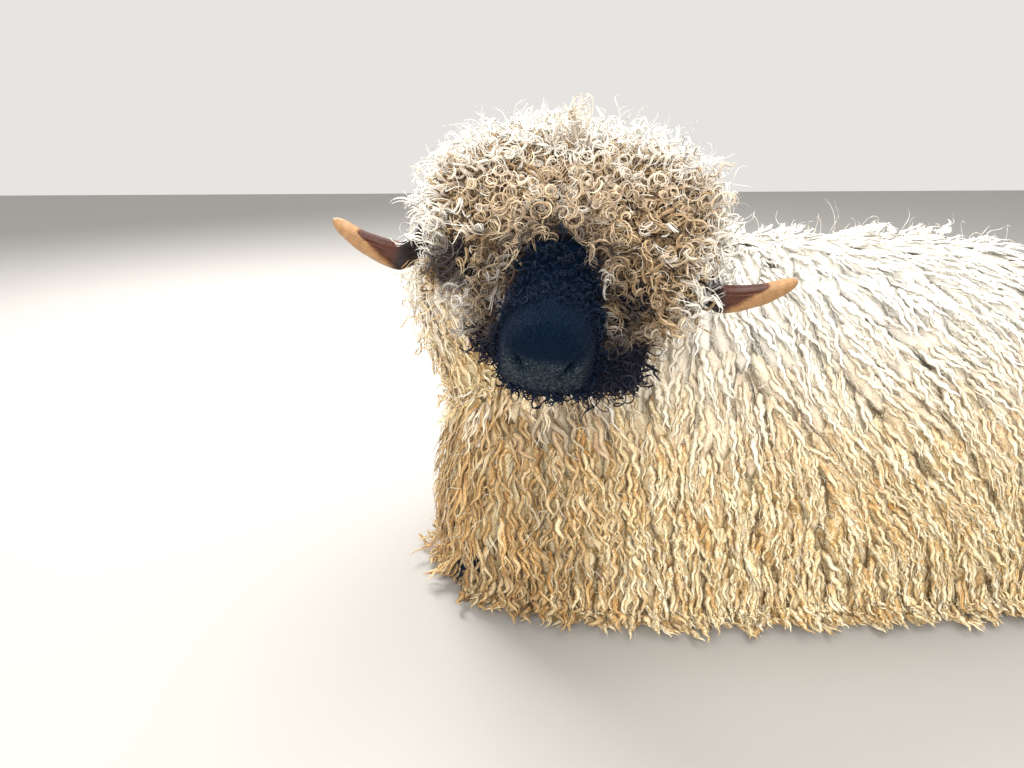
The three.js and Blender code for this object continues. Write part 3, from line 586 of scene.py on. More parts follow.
# strands: closed tapered bodies of three sides along paths, joined into one mesh
def strandPiece(name, strands, material):
    vertRows, faceRows, fibreRows, markRows, shareRows, uvRows, start = [], [], [], [], [], [], 0
    for made in strands:
        paths, ups, widths, thicks, homes, marks, seeds, lift = (made[k] for k in (
            "paths", "ups", "widths", "thicks", "homes", "marks", "seeds", "lift"))
        count, rows = paths.shape[:2]
        if not count:
            continue
        paths[..., 2] = np.maximum(paths[..., 2], 0.001 + thicks)
        tangent = unit(np.gradient(paths, axis=1))
        across = unit(np.cross(ups, tangent))
        out = np.cross(tangent, across)
        ring, w, h = paths[:, 1:-1], widths[:, 1:-1, None] / 2, thicks[:, 1:-1, None] / 2
        ring = np.stack([ring + across[:, 1:-1] * w - out[:, 1:-1] * h * 0.6, ring + out[:, 1:-1] * h,
                         ring - across[:, 1:-1] * w - out[:, 1:-1] * h * 0.6], 2).reshape(count, -1, 3)
        verts = np.concatenate([paths[:, :1], ring, paths[:, -1:]], 1)
        verts[..., 2] = np.maximum(verts[..., 2], 0.0008)
        share = np.linspace(0, 1, rows)
        shares = np.concatenate([[0], np.repeat(share[1:-1], 3), [1]])
        lengths = np.linalg.norm(np.diff(paths, axis=1), axis=-1).sum(1)
        turnAt = np.concatenate([[0], np.tile([-1.0, 0.0, 1.0], rows - 2), [0]])
        fullWidth = np.concatenate([widths[:, :1], np.repeat(widths[:, 1:-1], 3, 1), widths[:, -1:]], 1)
        fibre = np.stack([turnAt * fullWidth * 500, shares * lengths[:, None] * 1000,
                          np.broadcast_to(seeds[:, None] * 40, (count, len(shares)))], -1)
        last = 1 + 3 * (rows - 2)
        faces = []
        for c in range(3):
            d = (c + 1) % 3
            faces.append((0, 1 + d, 1 + c))
            for a in range(1, last - 3, 3):
                faces += [(a + c, a + d, a + 3 + d), (a + c, a + 3 + d, a + 3 + c)]
            faces.append((last - 3 + c, last - 3 + d, last))
        faces = np.array(faces)
        each = verts.shape[1]
        vertRows.append(verts.reshape(-1, 3))
        faceRows.append((faces[None] + start + np.arange(count)[:, None, None] * each).reshape(-1, 3))
        fibreRows.append(fibre.reshape(-1, 3))
        markRows.append(np.repeat(marks, each, 0))
        shareRows.append(np.clip(shares[None] * lift[:, 1:2] + lift[:, :1], 0, 1).ravel())
        patch = np.stack([0.0015 * turnAt, 0.003 * shares], -1)
        uvRows.append((homes[:, None] + patch)[:, faces.ravel()].reshape(-1, 2))
        start += count * each
    verts, faces = np.concatenate(vertRows), np.concatenate(faceRows)
    mesh = bpy.data.meshes.new(name)
    mesh.vertices.add(len(verts))
    mesh.vertices.foreach_set("co", verts.astype(np.float32).ravel())
    mesh.loops.add(faces.size)
    mesh.loops.foreach_set("vertex_index", faces.astype(np.int32).ravel())
    mesh.polygons.add(len(faces))
    mesh.polygons.foreach_set("loop_start", np.arange(0, faces.size, 3, dtype=np.int32))
    mesh.update(calc_edges=True)
    mesh.shade_smooth()
    addAttribute(mesh, "fibre", "FLOAT_VECTOR", np.concatenate(fibreRows))
    addAttribute(mesh, "marking", "FLOAT_VECTOR", np.concatenate(markRows))
    addAttribute(mesh, "rootTip", "FLOAT", np.concatenate(shareRows))
    bake = mesh.uv_layers.new(name="OFBake")
    bake.uv.foreach_set("vector", (np.concatenate(uvRows) * 0.99 + 0.004).astype(np.float32).ravel())
    mesh.materials.append(material)
    piece = bpy.data.objects.new(name, mesh)
    bpy.context.scene.collection.objects.link(piece)
    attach(piece, "root")
    triangles[name] = len(faces)


scatterSet = {"rows": 400, "around": 48, "tries": 16, "floor": 0.004}


# even random places on a form that lie on the open skin, no two nearer than the spacing
def scatter(form, spacing, height, keep=None, reach=0.012):
    edges = np.linspace(0, 1, scatterSet["rows"] + 1)
    middles = (edges[1:] + edges[:-1]) / 2
    columns = np.linspace(0, 2 * math.pi, scatterSet["around"], endpoint=False)
    t, angle = (v.ravel() for v in np.meshgrid(middles, columns))
    lengthways, around, _ = form.slopes(t, angle)
    belts = np.linalg.norm(np.cross(lengthways, around), axis=-1).reshape(len(columns), -1).mean(0)
    count = int(scatterSet["tries"] * belts.mean() * 2 * math.pi / spacing ** 2)
    t = np.interp(chance.random(count), np.append(0, np.cumsum(belts)) / belts.sum(), edges)
    angle = chance.random(count) * 2 * math.pi
    lengthways, around, normal = form.slopes(t, angle)
    size = np.linalg.norm(np.cross(lengthways, around), axis=-1) / np.interp(t, middles, belts)
    picked = chance.random(len(t)) < size / np.quantile(size, 0.97)
    t, angle, normal = t[picked], angle[picked], normal[picked]
    spots = form.point(t, angle, height) / 1000
    inside = spots[:, 2] > scatterSet["floor"]
    if keep is not None:
        inside &= keep(spots, normal)
    t, angle, spots = t[inside], angle[inside], spots[inside]
    cell, taken, chosen = spacing / 1000, {}, []
    for i, spot in enumerate(spots.tolist()):
        x, y, z = (int(v // cell) for v in spot)
        near = (j for dx in (x - 1, x, x + 1) for dy in (y - 1, y, y + 1) for dz in (z - 1, z, z + 1)
                for j in taken.get((dx, dy, dz), ()))
        if any(math.dist(j, spot) < cell for j in near):
            continue
        taken.setdefault((x, y, z), []).append(spot)
        chosen.append(i)
    t, angle, spots = t[chosen], angle[chosen], spots[chosen]
    ground, normal = nearestOnSkin(spots)
    bare = np.linalg.norm(ground - spots, axis=-1) < reach
    homes = np.column_stack([t, angle / (2 * math.pi)])
    return ground[bare], normal[bare], homes[bare]


combSet = {"rooted": 0.004, "arch": 0.62, "stray": 0.12, "floorZone": 0.07, "flare": 0.36}


# paths combed over the skin: from each root along the lay, rising to the tips' height
def combed(roots, normals, length, rise, lay, rows):
    at, normal = roots.copy(), normals.copy()
    paths, ups = [at - normal * combSet["rooted"]], [normal]
    step = (length / (rows - 1))[:, None]
    astray = chance.normal(0, combSet["stray"], len(roots))[:, None]
    for k in range(1, rows):
        heading = lay(at, normal)
        heading = unit(heading - normal * dot(heading, normal))
        heading = heading * np.cos(astray) + np.cross(normal, heading) * np.sin(astray)
        ground, up = nearestOnSkin(at + heading * step)
        outward = unit(normal * (1, 1, 0.001))
        drop = np.minimum(step, combSet["flare"] * np.maximum(at[:, 2:] - 0.004, 0))   # low locks flare
        hang = drop / step
        slide = unit(outward + heading * (0.5, 0.5, 0)) * step * np.sqrt(1 - hang ** 2) * 0.8
        low = at[:, 2:] < combSet["floorZone"]
        at = np.where(low, at + slide * (1, 1, 0) - drop * (0, 0, 1), ground)
        flared = unit(outward * hang + (0, 0, 1) * (1 - hang) + 0.2 * normal)
        normal = np.where(low, flared, unit(up + normal * 0.6))
        height = rise[:, None] * (k / (rows - 1)) ** combSet["arch"] * np.where(low, 0.25 + 0.75 * hang, 1)
        paths.append(at + normal * height)
        ups.append(normal)
    return np.stack(paths, 1), np.stack(ups, 1)


def atShares(paths, shares):  # points at shares of each path's length, on a smooth curve
    rows = paths.shape[1]
    at = np.clip(shares, 0, 1) * (rows - 1)
    k = np.minimum(at.astype(int), rows - 2)
    w = (at - k)[..., None]
    i = np.arange(len(paths))[:, None]
    a, b = paths[i, k], paths[i, k + 1]
    m0, m1 = (b - paths[i, np.maximum(k - 1, 0)]) / 2, (paths[i, np.minimum(k + 2, rows - 1)] - a) / 2
    return a + m0 * w + (3 * (b - a) - 2 * m0 - m1) * w ** 2 + (2 * (a - b) + m0 + m1) * w ** 3


# sunken flat locks of matted wool that close the coat
def mattedLocks(paths, ups, homes, marks, look):
    count = len(paths)
    share = np.linspace(0, 1, look["rows"])
    low = 1 - ramp(paths[:, -1, 2], 0.02, 0.08)
    shares = share * mix(1, 0.6, low)[:, None]
    guide, up = atShares(paths, shares), unit(atShares(ups, shares))
    across = unit(np.cross(up, unit(np.gradient(guide, axis=1))))
    full = np.minimum(share / 0.2, 1) * (1 - share ** 4)
    made = []
    for sink, aside in look["layers"]:
        body = guide + across * chance.normal(0, aside, count)[:, None, None]
        body = body - up * (sink + look["dive"] * share ** 3)[:, None]
        wide = chance.uniform(*look["width"], count)[:, None] * full * mix(1, 0.6, low)[:, None]
        made.append({"paths": body, "ups": up, "widths": wide, "thicks": wide * look["flat"],
                     "homes": homes, "marks": marks, "seeds": chance.random(count),
                     "lift": np.column_stack([chance.uniform(0.3, 0.6, count), np.full(count, -0.1)])})
    return made


# crimped wisps along the combed paths: in each a broad strand and finer ones that follow its waves
def crimpedWisps(paths, ups, homes, marks, look, loose=0.0):
    pick = np.repeat(np.arange(len(paths)), look["wisps"])
    count = len(pick)
    loose = np.broadcast_to(loose, len(paths))[pick]
    phase = ((chance.random(len(paths)) * 6.28)[pick] + chance.normal(0, 0.7, count))[:, None]
    period = chance.uniform(*look["wave"], count) * mix(1, look["looseWave"], loose)
    sway = (look["sway"] * chance.uniform(0.5, 1.3, count) * mix(1, look["looseSway"], loose))[:, None]
    first = chance.uniform(*look["start"], count)
    last = np.minimum(first + chance.uniform(*look["reach"], count), 1)
    whole = np.linalg.norm(np.diff(paths, axis=1), axis=-1).sum(1)[pick]
    stray, middle = chance.normal(0, look["stray"], count), chance.normal(0, look["spread"], count)
    pile, loft = chance.random(count)[:, None], np.maximum(chance.normal(0, 1, count), 0)[:, None]
    bend = chance.uniform(1, 4, count)[:, None]
    # darker where the locks hang loose: painted shade, strongest on the chest under the head, partly the
    # wool's own golden-brown tone
    tone = look["tone"] + chance.uniform(-0.28, 0.25, count) - 0.42 * loose
    tone = tone + 0.28 * wander(paths[:, 2], 0.13, 4.0)[pick]
    made = []
    for layer in look["layers"]:
        share = np.linspace(0, 1, layer["rows"])
        shares = first[:, None] + (last - first)[:, None] * share
        guide, up = atShares(paths[pick], shares), unit(atShares(ups[pick], shares))
        across = unit(np.cross(up, unit(np.gradient(guide, axis=1))))
        wave = 2 * math.pi * shares * (whole / period)[:, None] + phase
        aside = middle[:, None] * (1.1 - 0.35 * share) + (stray * whole)[:, None] * (shares - shares[:, :1])
        aside = aside + look["spread"] * 0.35 * np.sin(share * bend + phase)
        aside = aside + chance.normal(0, layer["shift"], count)[:, None] * (0.6 + 0.8 * share)
        over = look["pile"] * pile * share - look["sink"] * (1 - share) ** 2
        over = over + (look["loft"] * loft - look["dive"] * (loft == 0)) * share ** 3 + layer["over"]
        swing = sway * (0.7 + 0.5 * share)
        strand = guide + across * (aside + np.sin(wave) * swing)[..., None]
        strand = strand + up * (over + np.cos(wave) * swing * look["curl"])[..., None]
        full = np.minimum(share / 0.15, 1) ** 0.5 * (1 - share ** 2.2)
        thin = chance.uniform(*layer["width"], count)[:, None] * full
        some = chance.random(count) < layer["part"]
        # a layer that rides higher starts further along the root-to-tip colours: painted light on the upper
        # strands
        made.append({"paths": strand[some], "ups": up[some], "widths": thin[some],
                     "thicks": thin[some] * layer["flat"], "homes": homes[pick][some],
                     "marks": marks[pick][some], "seeds": chance.random(some.sum()),
                     "lift": np.column_stack([tone + layer["over"] * 70, np.full(count, 0.2)])[some]})
    return made


mattedLook = {"rows": 7, "width": (0.034, 0.044), "flat": 0.08, "dive": 0.020,
              "layers": ((0.007, 0.003), (0.011, 0.014))}
fleeceLook = {"wave": (0.015, 0.024), "sway": 0.0017, "looseWave": 2.0, "looseSway": 2.6, "curl": 0.35,
              "pile": 0.003, "sink": 0.003, "loft": 0.003, "dive": 0.003, "spread": 0.0105, "tone": 0.5,
              "start": (0.0, 0.54), "reach": (0.34, 0.50), "stray": 0.13, "wisps": 5, "layers": (
                  {"rows": 12, "width": (0.0065, 0.0130), "flat": 0.14, "shift": 0.0, "over": 0.0,
                   "part": 1.0},
                  {"rows": 10, "width": (0.0010, 0.0020), "flat": 0.8, "shift": 0.0038, "over": 0.0007,
                   "part": 0.75})}

# coat of the trunk in parts
trunkSet = {"spacing": 25, "length": (0.115, 0.165), "rise": (0.024, 0.034), "rows": 10, "topLength": 0.75,
            "lowLength": 0.6, "spine": 0.03, "chest": (-0.34, -0.16), "chestTop": (0.40, 0.52),
            "chestShadeAndBrown": 0.30, "pale": 0.85, "paintedLightHeight": (0.30, 0.44), "paintedLightFrom": (-0.25, -0.1)}


def trunkLay(at, normal):
    x, y, z = at.T
    sweep = 0.06 + 0.75 * ramp(x, -0.2, 0.25) * mix(0.4, 1, ramp(z, 0.08, 0.4)) + 0.3 * wander(at, 0.2, 0.4)
    side = np.tanh((y + 0.012 * wander(at, 0.15, 1.5)) / trunkSet["spine"])      # 0 along the spine
    sweep = sweep + 0.4 * (1 - np.abs(side))
    return np.column_stack([sweep, 0.9 * side * np.maximum(normal[:, 2], 0), -np.ones(len(at))])


roots, normals, homes = scatter(trunkForm, trunkSet["spacing"], skinSet["trunk"])
x, y, z = roots.T
lengths = chance.uniform(*trunkSet["length"], len(roots))
lengths = lengths * mix(1, trunkSet["topLength"], ramp(normals[:, 2], 0.3, 0.95))
lengths = lengths * mix(trunkSet["lowLength"], 1, ramp(z, 0.0, 0.12))
rises = chance.uniform(*trunkSet["rise"], len(roots))
paths, ups = combed(roots, normals, lengths, rises, trunkLay, trunkSet["rows"])
loose = (1 - ramp(x, *trunkSet["chest"])) * (1 - ramp(z, *trunkSet["chestTop"]))
# browner on the chest: painted shadow of the head, partly the wool's own golden-brown tint
brown = trunkSet["chestShadeAndBrown"] * loose * (1 + wander(roots, 0.06, 2.0))
# paler on wool that faces up, high or further back: painted light on the back's top
pale = (trunkSet["pale"] * ramp(normals[:, 2] + 0.12 * wander(roots, 0.12), 0.0, 0.95)
        * np.maximum(ramp(z, *trunkSet["paintedLightHeight"]), ramp(x, *trunkSet["paintedLightFrom"])))
marks = np.column_stack([np.zeros(len(roots)), brown, pale])
third = np.where(x < -0.12, 0, np.where(x < 0.16, 1, 2))
part = np.where(normals[:, 2] > 0.8, 6 + (x > 0.02), third + 3 * (y > 0))
part = np.where((x < -0.33) & (z < 0.42), 8, part)
for index, label in enumerate(("left_front", "left_middle", "left_rear", "right_front", "right_middle",
                               "right_rear", "back_front", "back_rear", "chest")):
    here = part == index
    given = paths[here], ups[here], homes[here], marks[here]
    strands = mattedLocks(*given, mattedLook) + crimpedWisps(*given, fleeceLook, loose[here])
    strandPiece("fleece_" + label, strands, fleeceMaterial)

# ruff of the neck and the throat: loose locks, and ringlets among them
ruffSet = {"spacing": 30, "length": (0.07, 0.11), "rise": (0.026, 0.038), "rows": 9, "loose": 0.3,
           "ringlets": 16.5, "reach": 0.024, "pale": 0.7}


def neckLay(at, normal):
    return np.column_stack([-0.2 * normal[:, 0], 0.3 * normal[:, 1], -np.ones(len(at))])


def neckMarks(roots, normals):
    # paler on wool facing up and forwards: painted light
    pale = ruffSet["pale"] * ramp(normals[:, 2] - 0.6 * normals[:, 0], -0.2, 0.95)
    return withPale(markings(roots), pale)


def lockPaths(roots, normals, setting, lay):
    lengths = chance.uniform(*setting["length"], len(roots))
    rises = chance.uniform(*setting["rise"], len(roots))
    return combed(roots, normals, lengths, rises, lay, setting["rows"])


roots, normals, homes = scatter(neckForm, ruffSet["spacing"], skinSet["neck"], None, ruffSet["reach"])
given = *lockPaths(roots, normals, ruffSet, neckLay), homes, neckMarks(roots, normals)
ruffStrands = mattedLocks(*given, mattedLook) + crimpedWisps(*given, fleeceLook, ruffSet["loose"])


# ringlets: strands wound round a guide that rises from the wool, the last turn lying flat
def ringlets(roots, normals, falls, homes, marks, look, facing=None):
    count = len(roots)
    clump = wander(roots, look["clump"], 7.0)
    share = np.linspace(0, 1, look["rows"])[None]
    length = chance.uniform(*look["length"], count)[:, None]
    height = (chance.uniform(*look["height"], count) * (1 + 0.45 * clump))[:, None]
    lean = unit(falls - normals * dot(falls, normals) + chance.normal(0, 0.5, (count, 3)))
    radius = chance.uniform(*look["radius"], count)[:, None]
    turns = chance.uniform(*look["turns"], count)[:, None]
    turns = turns * np.where(chance.random(count) < 0.5, 1, -1)[:, None]
    rise = 1 - (1 - share) ** 1.8
    guide = (roots[:, None] - normals[:, None] * 0.003 + normals[:, None] * (rise * height)[..., None]
             + lean[:, None] * ((share ** 1.6) * length)[..., None])
    axis = unit(normals * chance.uniform(0.1, 1.2, (count, 1)) + lean * chance.uniform(0.2, 1.0, (count, 1))
                + chance.normal(0, look["tilt"], (count, 3)))[:, None]
    if facing is not None:
        axis = unit(facing + chance.normal(0, look["tilt"], (count, 3)))[:, None]
    first = unit(np.cross(axis, unit(chance.normal(0, 1, (count, 3)))[:, None]))
    second = np.cross(axis, first)
    phase = chance.random(count)[:, None] * 6.28
    full = np.sin(math.pi * (0.10 + 0.90 * share)) ** 0.5
    made = []
    for k, (least, most) in enumerate(look["widths"]):
        wind = 2 * math.pi * turns * share * chance.uniform(0.92, 1.08, count)[:, None] + phase
        wind = wind + chance.normal(0, 0.25, count)[:, None] * (k > 0)
        size = radius * chance.uniform(0.8, 1.15, count)[:, None]
        size = size * ramp(share, -0.1, 0.35) * (1 - 0.3 * share)
        drift = chance.normal(0, look["loose"] if k else 0, (count, 1, 3)) * share[..., None]
        path = guide + first * (np.cos(wind) * size)[..., None] + second * (np.sin(wind) * size)[..., None]
        path = path + drift
        thin = chance.uniform(least, most, count)[:, None] * full
        outward = unit(path - guide + normals[:, None] * 0.004)
        made.append({"paths": path, "ups": outward, "widths": thin,
                     "thicks": thin * (0.55 if k == 0 else 0.8),
                     "homes": homes, "marks": marks, "seeds": chance.random(count),
                     "lift": np.column_stack([chance.uniform(-0.1, 0.15, count) + 0.22 * clump,
                                              chance.uniform(0.6, 0.95, count)])})
    return made


def headFall(at):  # which way the head's wool falls
    s, f, u = headPlace(at)
    outward = headLeft * (np.sign(s) * np.minimum(np.abs(s) / 120, 1))[:, None]
    return unit(outward * 0.5 + faceward * 0.55 - np.array([0, 0, 1.0]) * 0.9)


collarLook = {"rows": 14, "length": (0.008, 0.024), "height": (0.022, 0.040), "radius": (0.0050, 0.0100),
              "turns": (1.0, 1.8), "widths": ((0.0024, 0.0042), (0.0009, 0.0018)),
              "loose": 0.002, "tilt": 0.6, "clump": 0.08}
roots, normals, homes = scatter(neckForm, ruffSet["ringlets"], skinSet["neck"], None, ruffSet["reach"])
ruffStrands += ringlets(roots, normals, headFall(roots), homes, neckMarks(roots, normals), collarLook)
strandPiece("ruff", ruffStrands, fleeceMaterial)

# curls of the topknot in parts, with dense undercurls below and a few tall ones on the crown
topknotSet = {"spacing": 10, "reach": 0.018, "overSkin": 0.015, "rimPaintedLight": 0.9, "brow": 0.15, "cheek": -30,
              "under": 8.7, "underReach": 0.016, "underEnd": 165, "crown": ((-34, -24, 96), (6, 24, 100), 16)}
curlLook = {"rows": 16, "length": (0.006, 0.022), "height": (0.014, 0.034), "radius": (0.0045, 0.0098),
            "turns": (1.2, 2.3), "widths": ((0.0020, 0.0036), (0.0009, 0.0017), (0.0007, 0.0013)),
            "loose": 0.0028, "tilt": 0.4, "clump": 0.07}
roots, normals, homes = scatter(topknotForm, topknotSet["spacing"], skinSet["topknot"], None,
                                topknotSet["reach"])
falls = headFall(roots)
s, f, u = headPlace(roots)
# paler on curls facing up or to the sides: painted highlight on the rims
rim = np.maximum(ramp(normals[:, 2] + 0.35 * normals[:, 1], 0.2, 0.85),
                 ramp(np.abs(normals @ headLeft), 0.4, 0.9))
marks = withPale(markings(roots + normals * topknotSet["overSkin"]), topknotSet["rimPaintedLight"] * rim)
part = np.where(normals @ faceward > topknotSet["brow"], 0, np.where(s > 0, 1, 2))
part = part + 3 * (u < topknotSet["cheek"])
for index, label in enumerate(("brow", "left_top", "right_top", "cheeks", "left_low", "right_low")):
    here = part == index
    strands = ringlets(roots[here], normals[here], falls[here], homes[here], marks[here], curlLook)
    strandPiece("curls_" + label, strands, topknotMaterial)

# the forelock falls from the forehead over the eyes and the top of the dark face
foreSet = {"spacing": 9.2, "end": 132, "dark": (95, 120), "darkMost": 0.55, "pale": 0.1}
foreLook = {**curlLook, "rows": 19, "length": (0.018, 0.042), "height": (0.014, 0.030),
            "radius": (0.0055, 0.0105), "widths": ((0.0020, 0.0034), (0.0010, 0.0018), (0.0009, 0.0016))}
roots, normals, homes = scatter(skullForm, foreSet["spacing"], 0,
                                lambda spots, normal: headPlace(spots)[1] < foreSet["end"])
s, f, u = headPlace(roots)
dark = np.maximum(u < -20, foreSet["darkMost"] * ramp(f, *foreSet["dark"]))
marks = withPale(markings(roots) * dark[:, None], foreSet["pale"])
forelock = ringlets(roots, normals, headFall(roots), homes, marks, foreLook)
strandPiece("forelock", forelock, topknotMaterial)

underLook = {"rows": 9, "length": (0.004, 0.012), "height": (0.007, 0.018), "radius": (0.0035, 0.0070),
             "turns": (0.6, 1.4), "widths": ((0.0012, 0.0024), (0.0009, 0.0016)), "loose": 0.003, "tilt": 0.7,
             "clump": 0.07}
under = []
for form, height in ((topknotForm, skinSet["topknot"]), (skullForm, 0)):
    roots, normals, homes = scatter(form, topknotSet["under"], height,
                                    lambda spots, normal: headPlace(spots)[1] < topknotSet["underEnd"],
                                    topknotSet["underReach"])
    marks = withPale(markings(roots + normals * topknotSet["overSkin"]))
    under += ringlets(roots, normals, headFall(roots), homes, marks, underLook)
strandPiece("undercurls", under, topknotMaterial)

crownLook = {**curlLook, "height": (0.036, 0.056), "radius": (0.0060, 0.0100), "turns": (0.8, 1.6)}
low, high, count = topknotSet["crown"]
roots, normals = nearestOnSkin(onHead(*chance.uniform(low, high, (count, 3)).T[:, :, None]) / 1000)
# half pale: painted light on the crown's tall curls
marks = withPale(np.zeros((count, 2)), 0.5)
homes = np.full((count, 2), 0.5) + chance.uniform(-0.03, 0.03, (count, 2))
crown = ringlets(roots, normals, headFall(roots), homes, marks, crownLook)
strandPiece("curls_crown", crown, topknotMaterial)

# tight short curls on the face, longer and darker along the jaw, with larger loops on the beard
curlSpacing = {"face": 6.4, "jaw": 7, "beard": 5.4, "loops": 14, "ears": 8, "nose": 4.6}
faceLook = {"rows": 13, "length": (0.003, 0.008), "height": (0.007, 0.014), "radius": (0.0028, 0.0052),
            "turns": (1.0, 1.9), "widths": ((0.0016, 0.0026), (0.0008, 0.0014)), "loose": 0.001, "tilt": 0.5,
            "clump": 0.03}
jawLook = {"rows": 12, "length": (0.004, 0.014), "height": (0.006, 0.017), "radius": (0.0035, 0.0070),
           "turns": (0.9, 1.7), "widths": ((0.0014, 0.0028),), "loose": 0.001, "tilt": 0.5, "clump": 0.04}
loopLook = {**jawLook, "rows": 17, "height": (0.014, 0.028), "radius": (0.0060, 0.0095), "turns": (1.0, 1.5),
            "widths": ((0.0018, 0.0032),), "tilt": 0.35}


def alongFace(least, most, top=1000):  # keeps spots between two places along the face, and below a height
    def keep(spots, normal):
        s, f, u = headPlace(spots)
        return (f > least) & (f < most) & (u < top)
    return keep


def curlsOn(form, spacing, height, look, keep=None, fall=headFall, facing=None):
    roots, normals, homes = scatter(form, spacing, height, keep)
    return ringlets(roots, normals, fall(roots), homes, withPale(markings(roots)), look, facing)


def straightDown(at, forwards=0.0):
    return np.tile((0.0, 0.0, -1.0), (len(at), 1)) + forwards * faceward


onJaw = alongFace(105, 266, -30)
faceCurls = curlsOn(skullForm, curlSpacing["face"], 0, faceLook, alongFace(120, 222))
strandPiece("face_curls", faceCurls, faceMaterial)
jawStrands = []
for form, label, height in ((skullForm, "jaw", 0), (beardForm, "beard", skinSet["beard"])):
    jawStrands += curlsOn(form, curlSpacing[label], height, jawLook, onJaw, lambda at: straightDown(at, 0.5))
jawStrands += curlsOn(beardForm, curlSpacing["loops"], skinSet["beard"], loopLook, onJaw, straightDown,
                      faceward)
strandPiece("jaw_curls", jawStrands, faceMaterial)
earStrands = []
for form in earForms:
    earStrands += curlsOn(form, curlSpacing["ears"], 0, foreLook)
strandPiece("ear_hair", earStrands, topknotMaterial)

# short straight hair on the nose's bridge
hairLook = {**fleeceLook, "wave": (0.010, 0.014), "sway": 0.0005, "curl": 0.8, "pile": 0.0012, "sink": 0.001,
            "loft": 0.0006, "spread": 0.002, "start": (0.0, 0.2), "reach": (0.7, 0.8), "dive": 0.0,
            "wisps": 1, "layers": ({"rows": 6, "width": (0.0008, 0.0013), "flat": 0.8, "shift": 0.0,
                                    "over": 0.0, "part": 1.0},)}
hairSet = {"length": (0.006, 0.010), "rise": 0.0018, "rows": 5}


def faceLay(at, normal):
    return np.tile(-faceward, (len(at), 1)) + headUp * 0.2


roots, normals, homes = scatter(skullForm, curlSpacing["nose"], 0, alongFace(190, 262))
paths, ups = combed(roots, normals, chance.uniform(*hairSet["length"], len(roots)),
                    np.full(len(roots), hairSet["rise"]), faceLay, hairSet["rows"])
strandPiece("nose_hair", crimpedWisps(paths, ups, homes, withPale(markings(roots)), hairLook), faceMaterial)

# wool of the legs and the tail
legSet = {"spacing": 13, "length": (0.022, 0.034), "rise": (0.009, 0.014), "rows": 6}
legMatted = {"rows": 7, "width": (0.012, 0.017), "flat": 0.3, "dive": 0.006, "layers": ((0.002, 0.0),)}
legLook = {**fleeceLook, "wave": (0.012, 0.018), "sway": 0.0014, "spread": 0.004, "pile": 0.003,
           "start": (0.0, 0.3), "reach": (0.5, 0.7), "dive": 0.0, "wisps": 2,
           "layers": ({"rows": 8, "width": (0.0026, 0.0045), "flat": 0.5, "shift": 0.0, "over": 0.0,
                       "part": 1.0},)}
tailSet = {"spacing": 23, "length": (0.07, 0.10), "rise": (0.014, 0.024), "rows": 8, "loose": 0.4,
           "pale": 0.7, "paintedLightHeight": (0.12, 0.40)}
tailMatted = {**mattedLook, "width": (0.018, 0.024)}


def fallLay(at, normal):
    return straightDown(at) + 0.4 * normal


legStrands = []
for form in legForms:
    roots, normals, homes = scatter(form, legSet["spacing"], skinSet["leg"])
    given = *lockPaths(roots, normals, legSet, fallLay), homes, withPale(markings(roots))
    legStrands += mattedLocks(*given, legMatted) + crimpedWisps(*given, legLook)
strandPiece("leg_wool", legStrands, fleeceMaterial)
roots, normals, homes = scatter(tailForm, tailSet["spacing"], skinSet["tail"])
# paler higher up: painted light on the tail's top, as on the back
marks = withPale(np.zeros((len(roots), 2)), tailSet["pale"] * ramp(roots[:, 2], *tailSet["paintedLightHeight"]))
given = *lockPaths(roots, normals, tailSet, fallLay), homes, marks
tailStrands = mattedLocks(*given, tailMatted) + crimpedWisps(*given, fleeceLook, tailSet["loose"])
strandPiece("tail_wool", tailStrands, fleeceMaterial)

# stray frizz that stands off the outline
frizzLook = {"rows": 11, "length": (0.006, 0.024), "height": (0.026, 0.046), "radius": (0.005, 0.012),
             "turns": (0.6, 1.6), "widths": ((0.0006, 0.0010),), "loose": 0.0, "tilt": 0.8, "clump": 0.09}
frizz = []
for form, height, spacing in ((trunkForm, skinSet["trunk"], 29), (neckForm, skinSet["neck"], 24),
                              (topknotForm, skinSet["topknot"], 13)):
    roots, normals, homes = scatter(form, spacing, height, lambda spots, normal: normal[:, 2] > -0.2)
    # near-white: painted backlight on the fibres standing off the outline
    frizz += ringlets(roots, normals, headFall(roots), homes, withPale(markings(roots), 0.8), frizzLook)
strandPiece("frizz", frizz, fleeceMaterial)
print("coat finished", sum(triangles.values()), "triangles", triangles)

# horns: a dark fluted plate with a thick pale rim below, which grows over the whole breadth at the tip
hornMaterial, wires, shader = newMaterial("horn", {"Roughness": 0.38})
way = wires.split(wires.attribute("hornWay"))
streakPlace = wires.joined(X=wires.maths("MULTIPLY", way["Z"], 9), Y=wires.maths("MULTIPLY", way["Y"], 5))
bandPlace = wires.joined(X=wires.maths("MULTIPLY", way["Z"], 0.8), Y=wires.maths("MULTIPLY", way["Y"], 46))
streaks = wires.noise(streakPlace, 1.6, 6, 0.4)
bands = wires.noise(bandPlace, 1.0, 3)
plateTone = wires.mixed(streaks, (0.012, 0.003, 0.002), (0.15, 0.036, 0.014))
rimTone = wires.mixed(streaks, (0.14, 0.045, 0.010), (0.62, 0.36, 0.16))
# the rim's underside darker reddish-brown: painted shade on its lower side
rimTone = wires.mixed(wires.step(way["Z"], -1.0, -0.7), (0.16, 0.045, 0.016), rimTone)
tone = wires.mixed(way["X"], plateTone, rimTone)
tone = wires.mixed(wires.step(way["Y"], 0.70, 0.745, 0.92, 0.0), tone, (0.010, 0.009, 0.014))
tone = wires.mixed(1.0, tone, wires.maths("MULTIPLY_ADD", bands, 0.9, 0.55), "MULTIPLY")
wires.links.new(tone, shader.inputs["Base Color"])
wires.relief(shader, wires.maths("ADD", streaks, bands), 0.6, 0.0008)


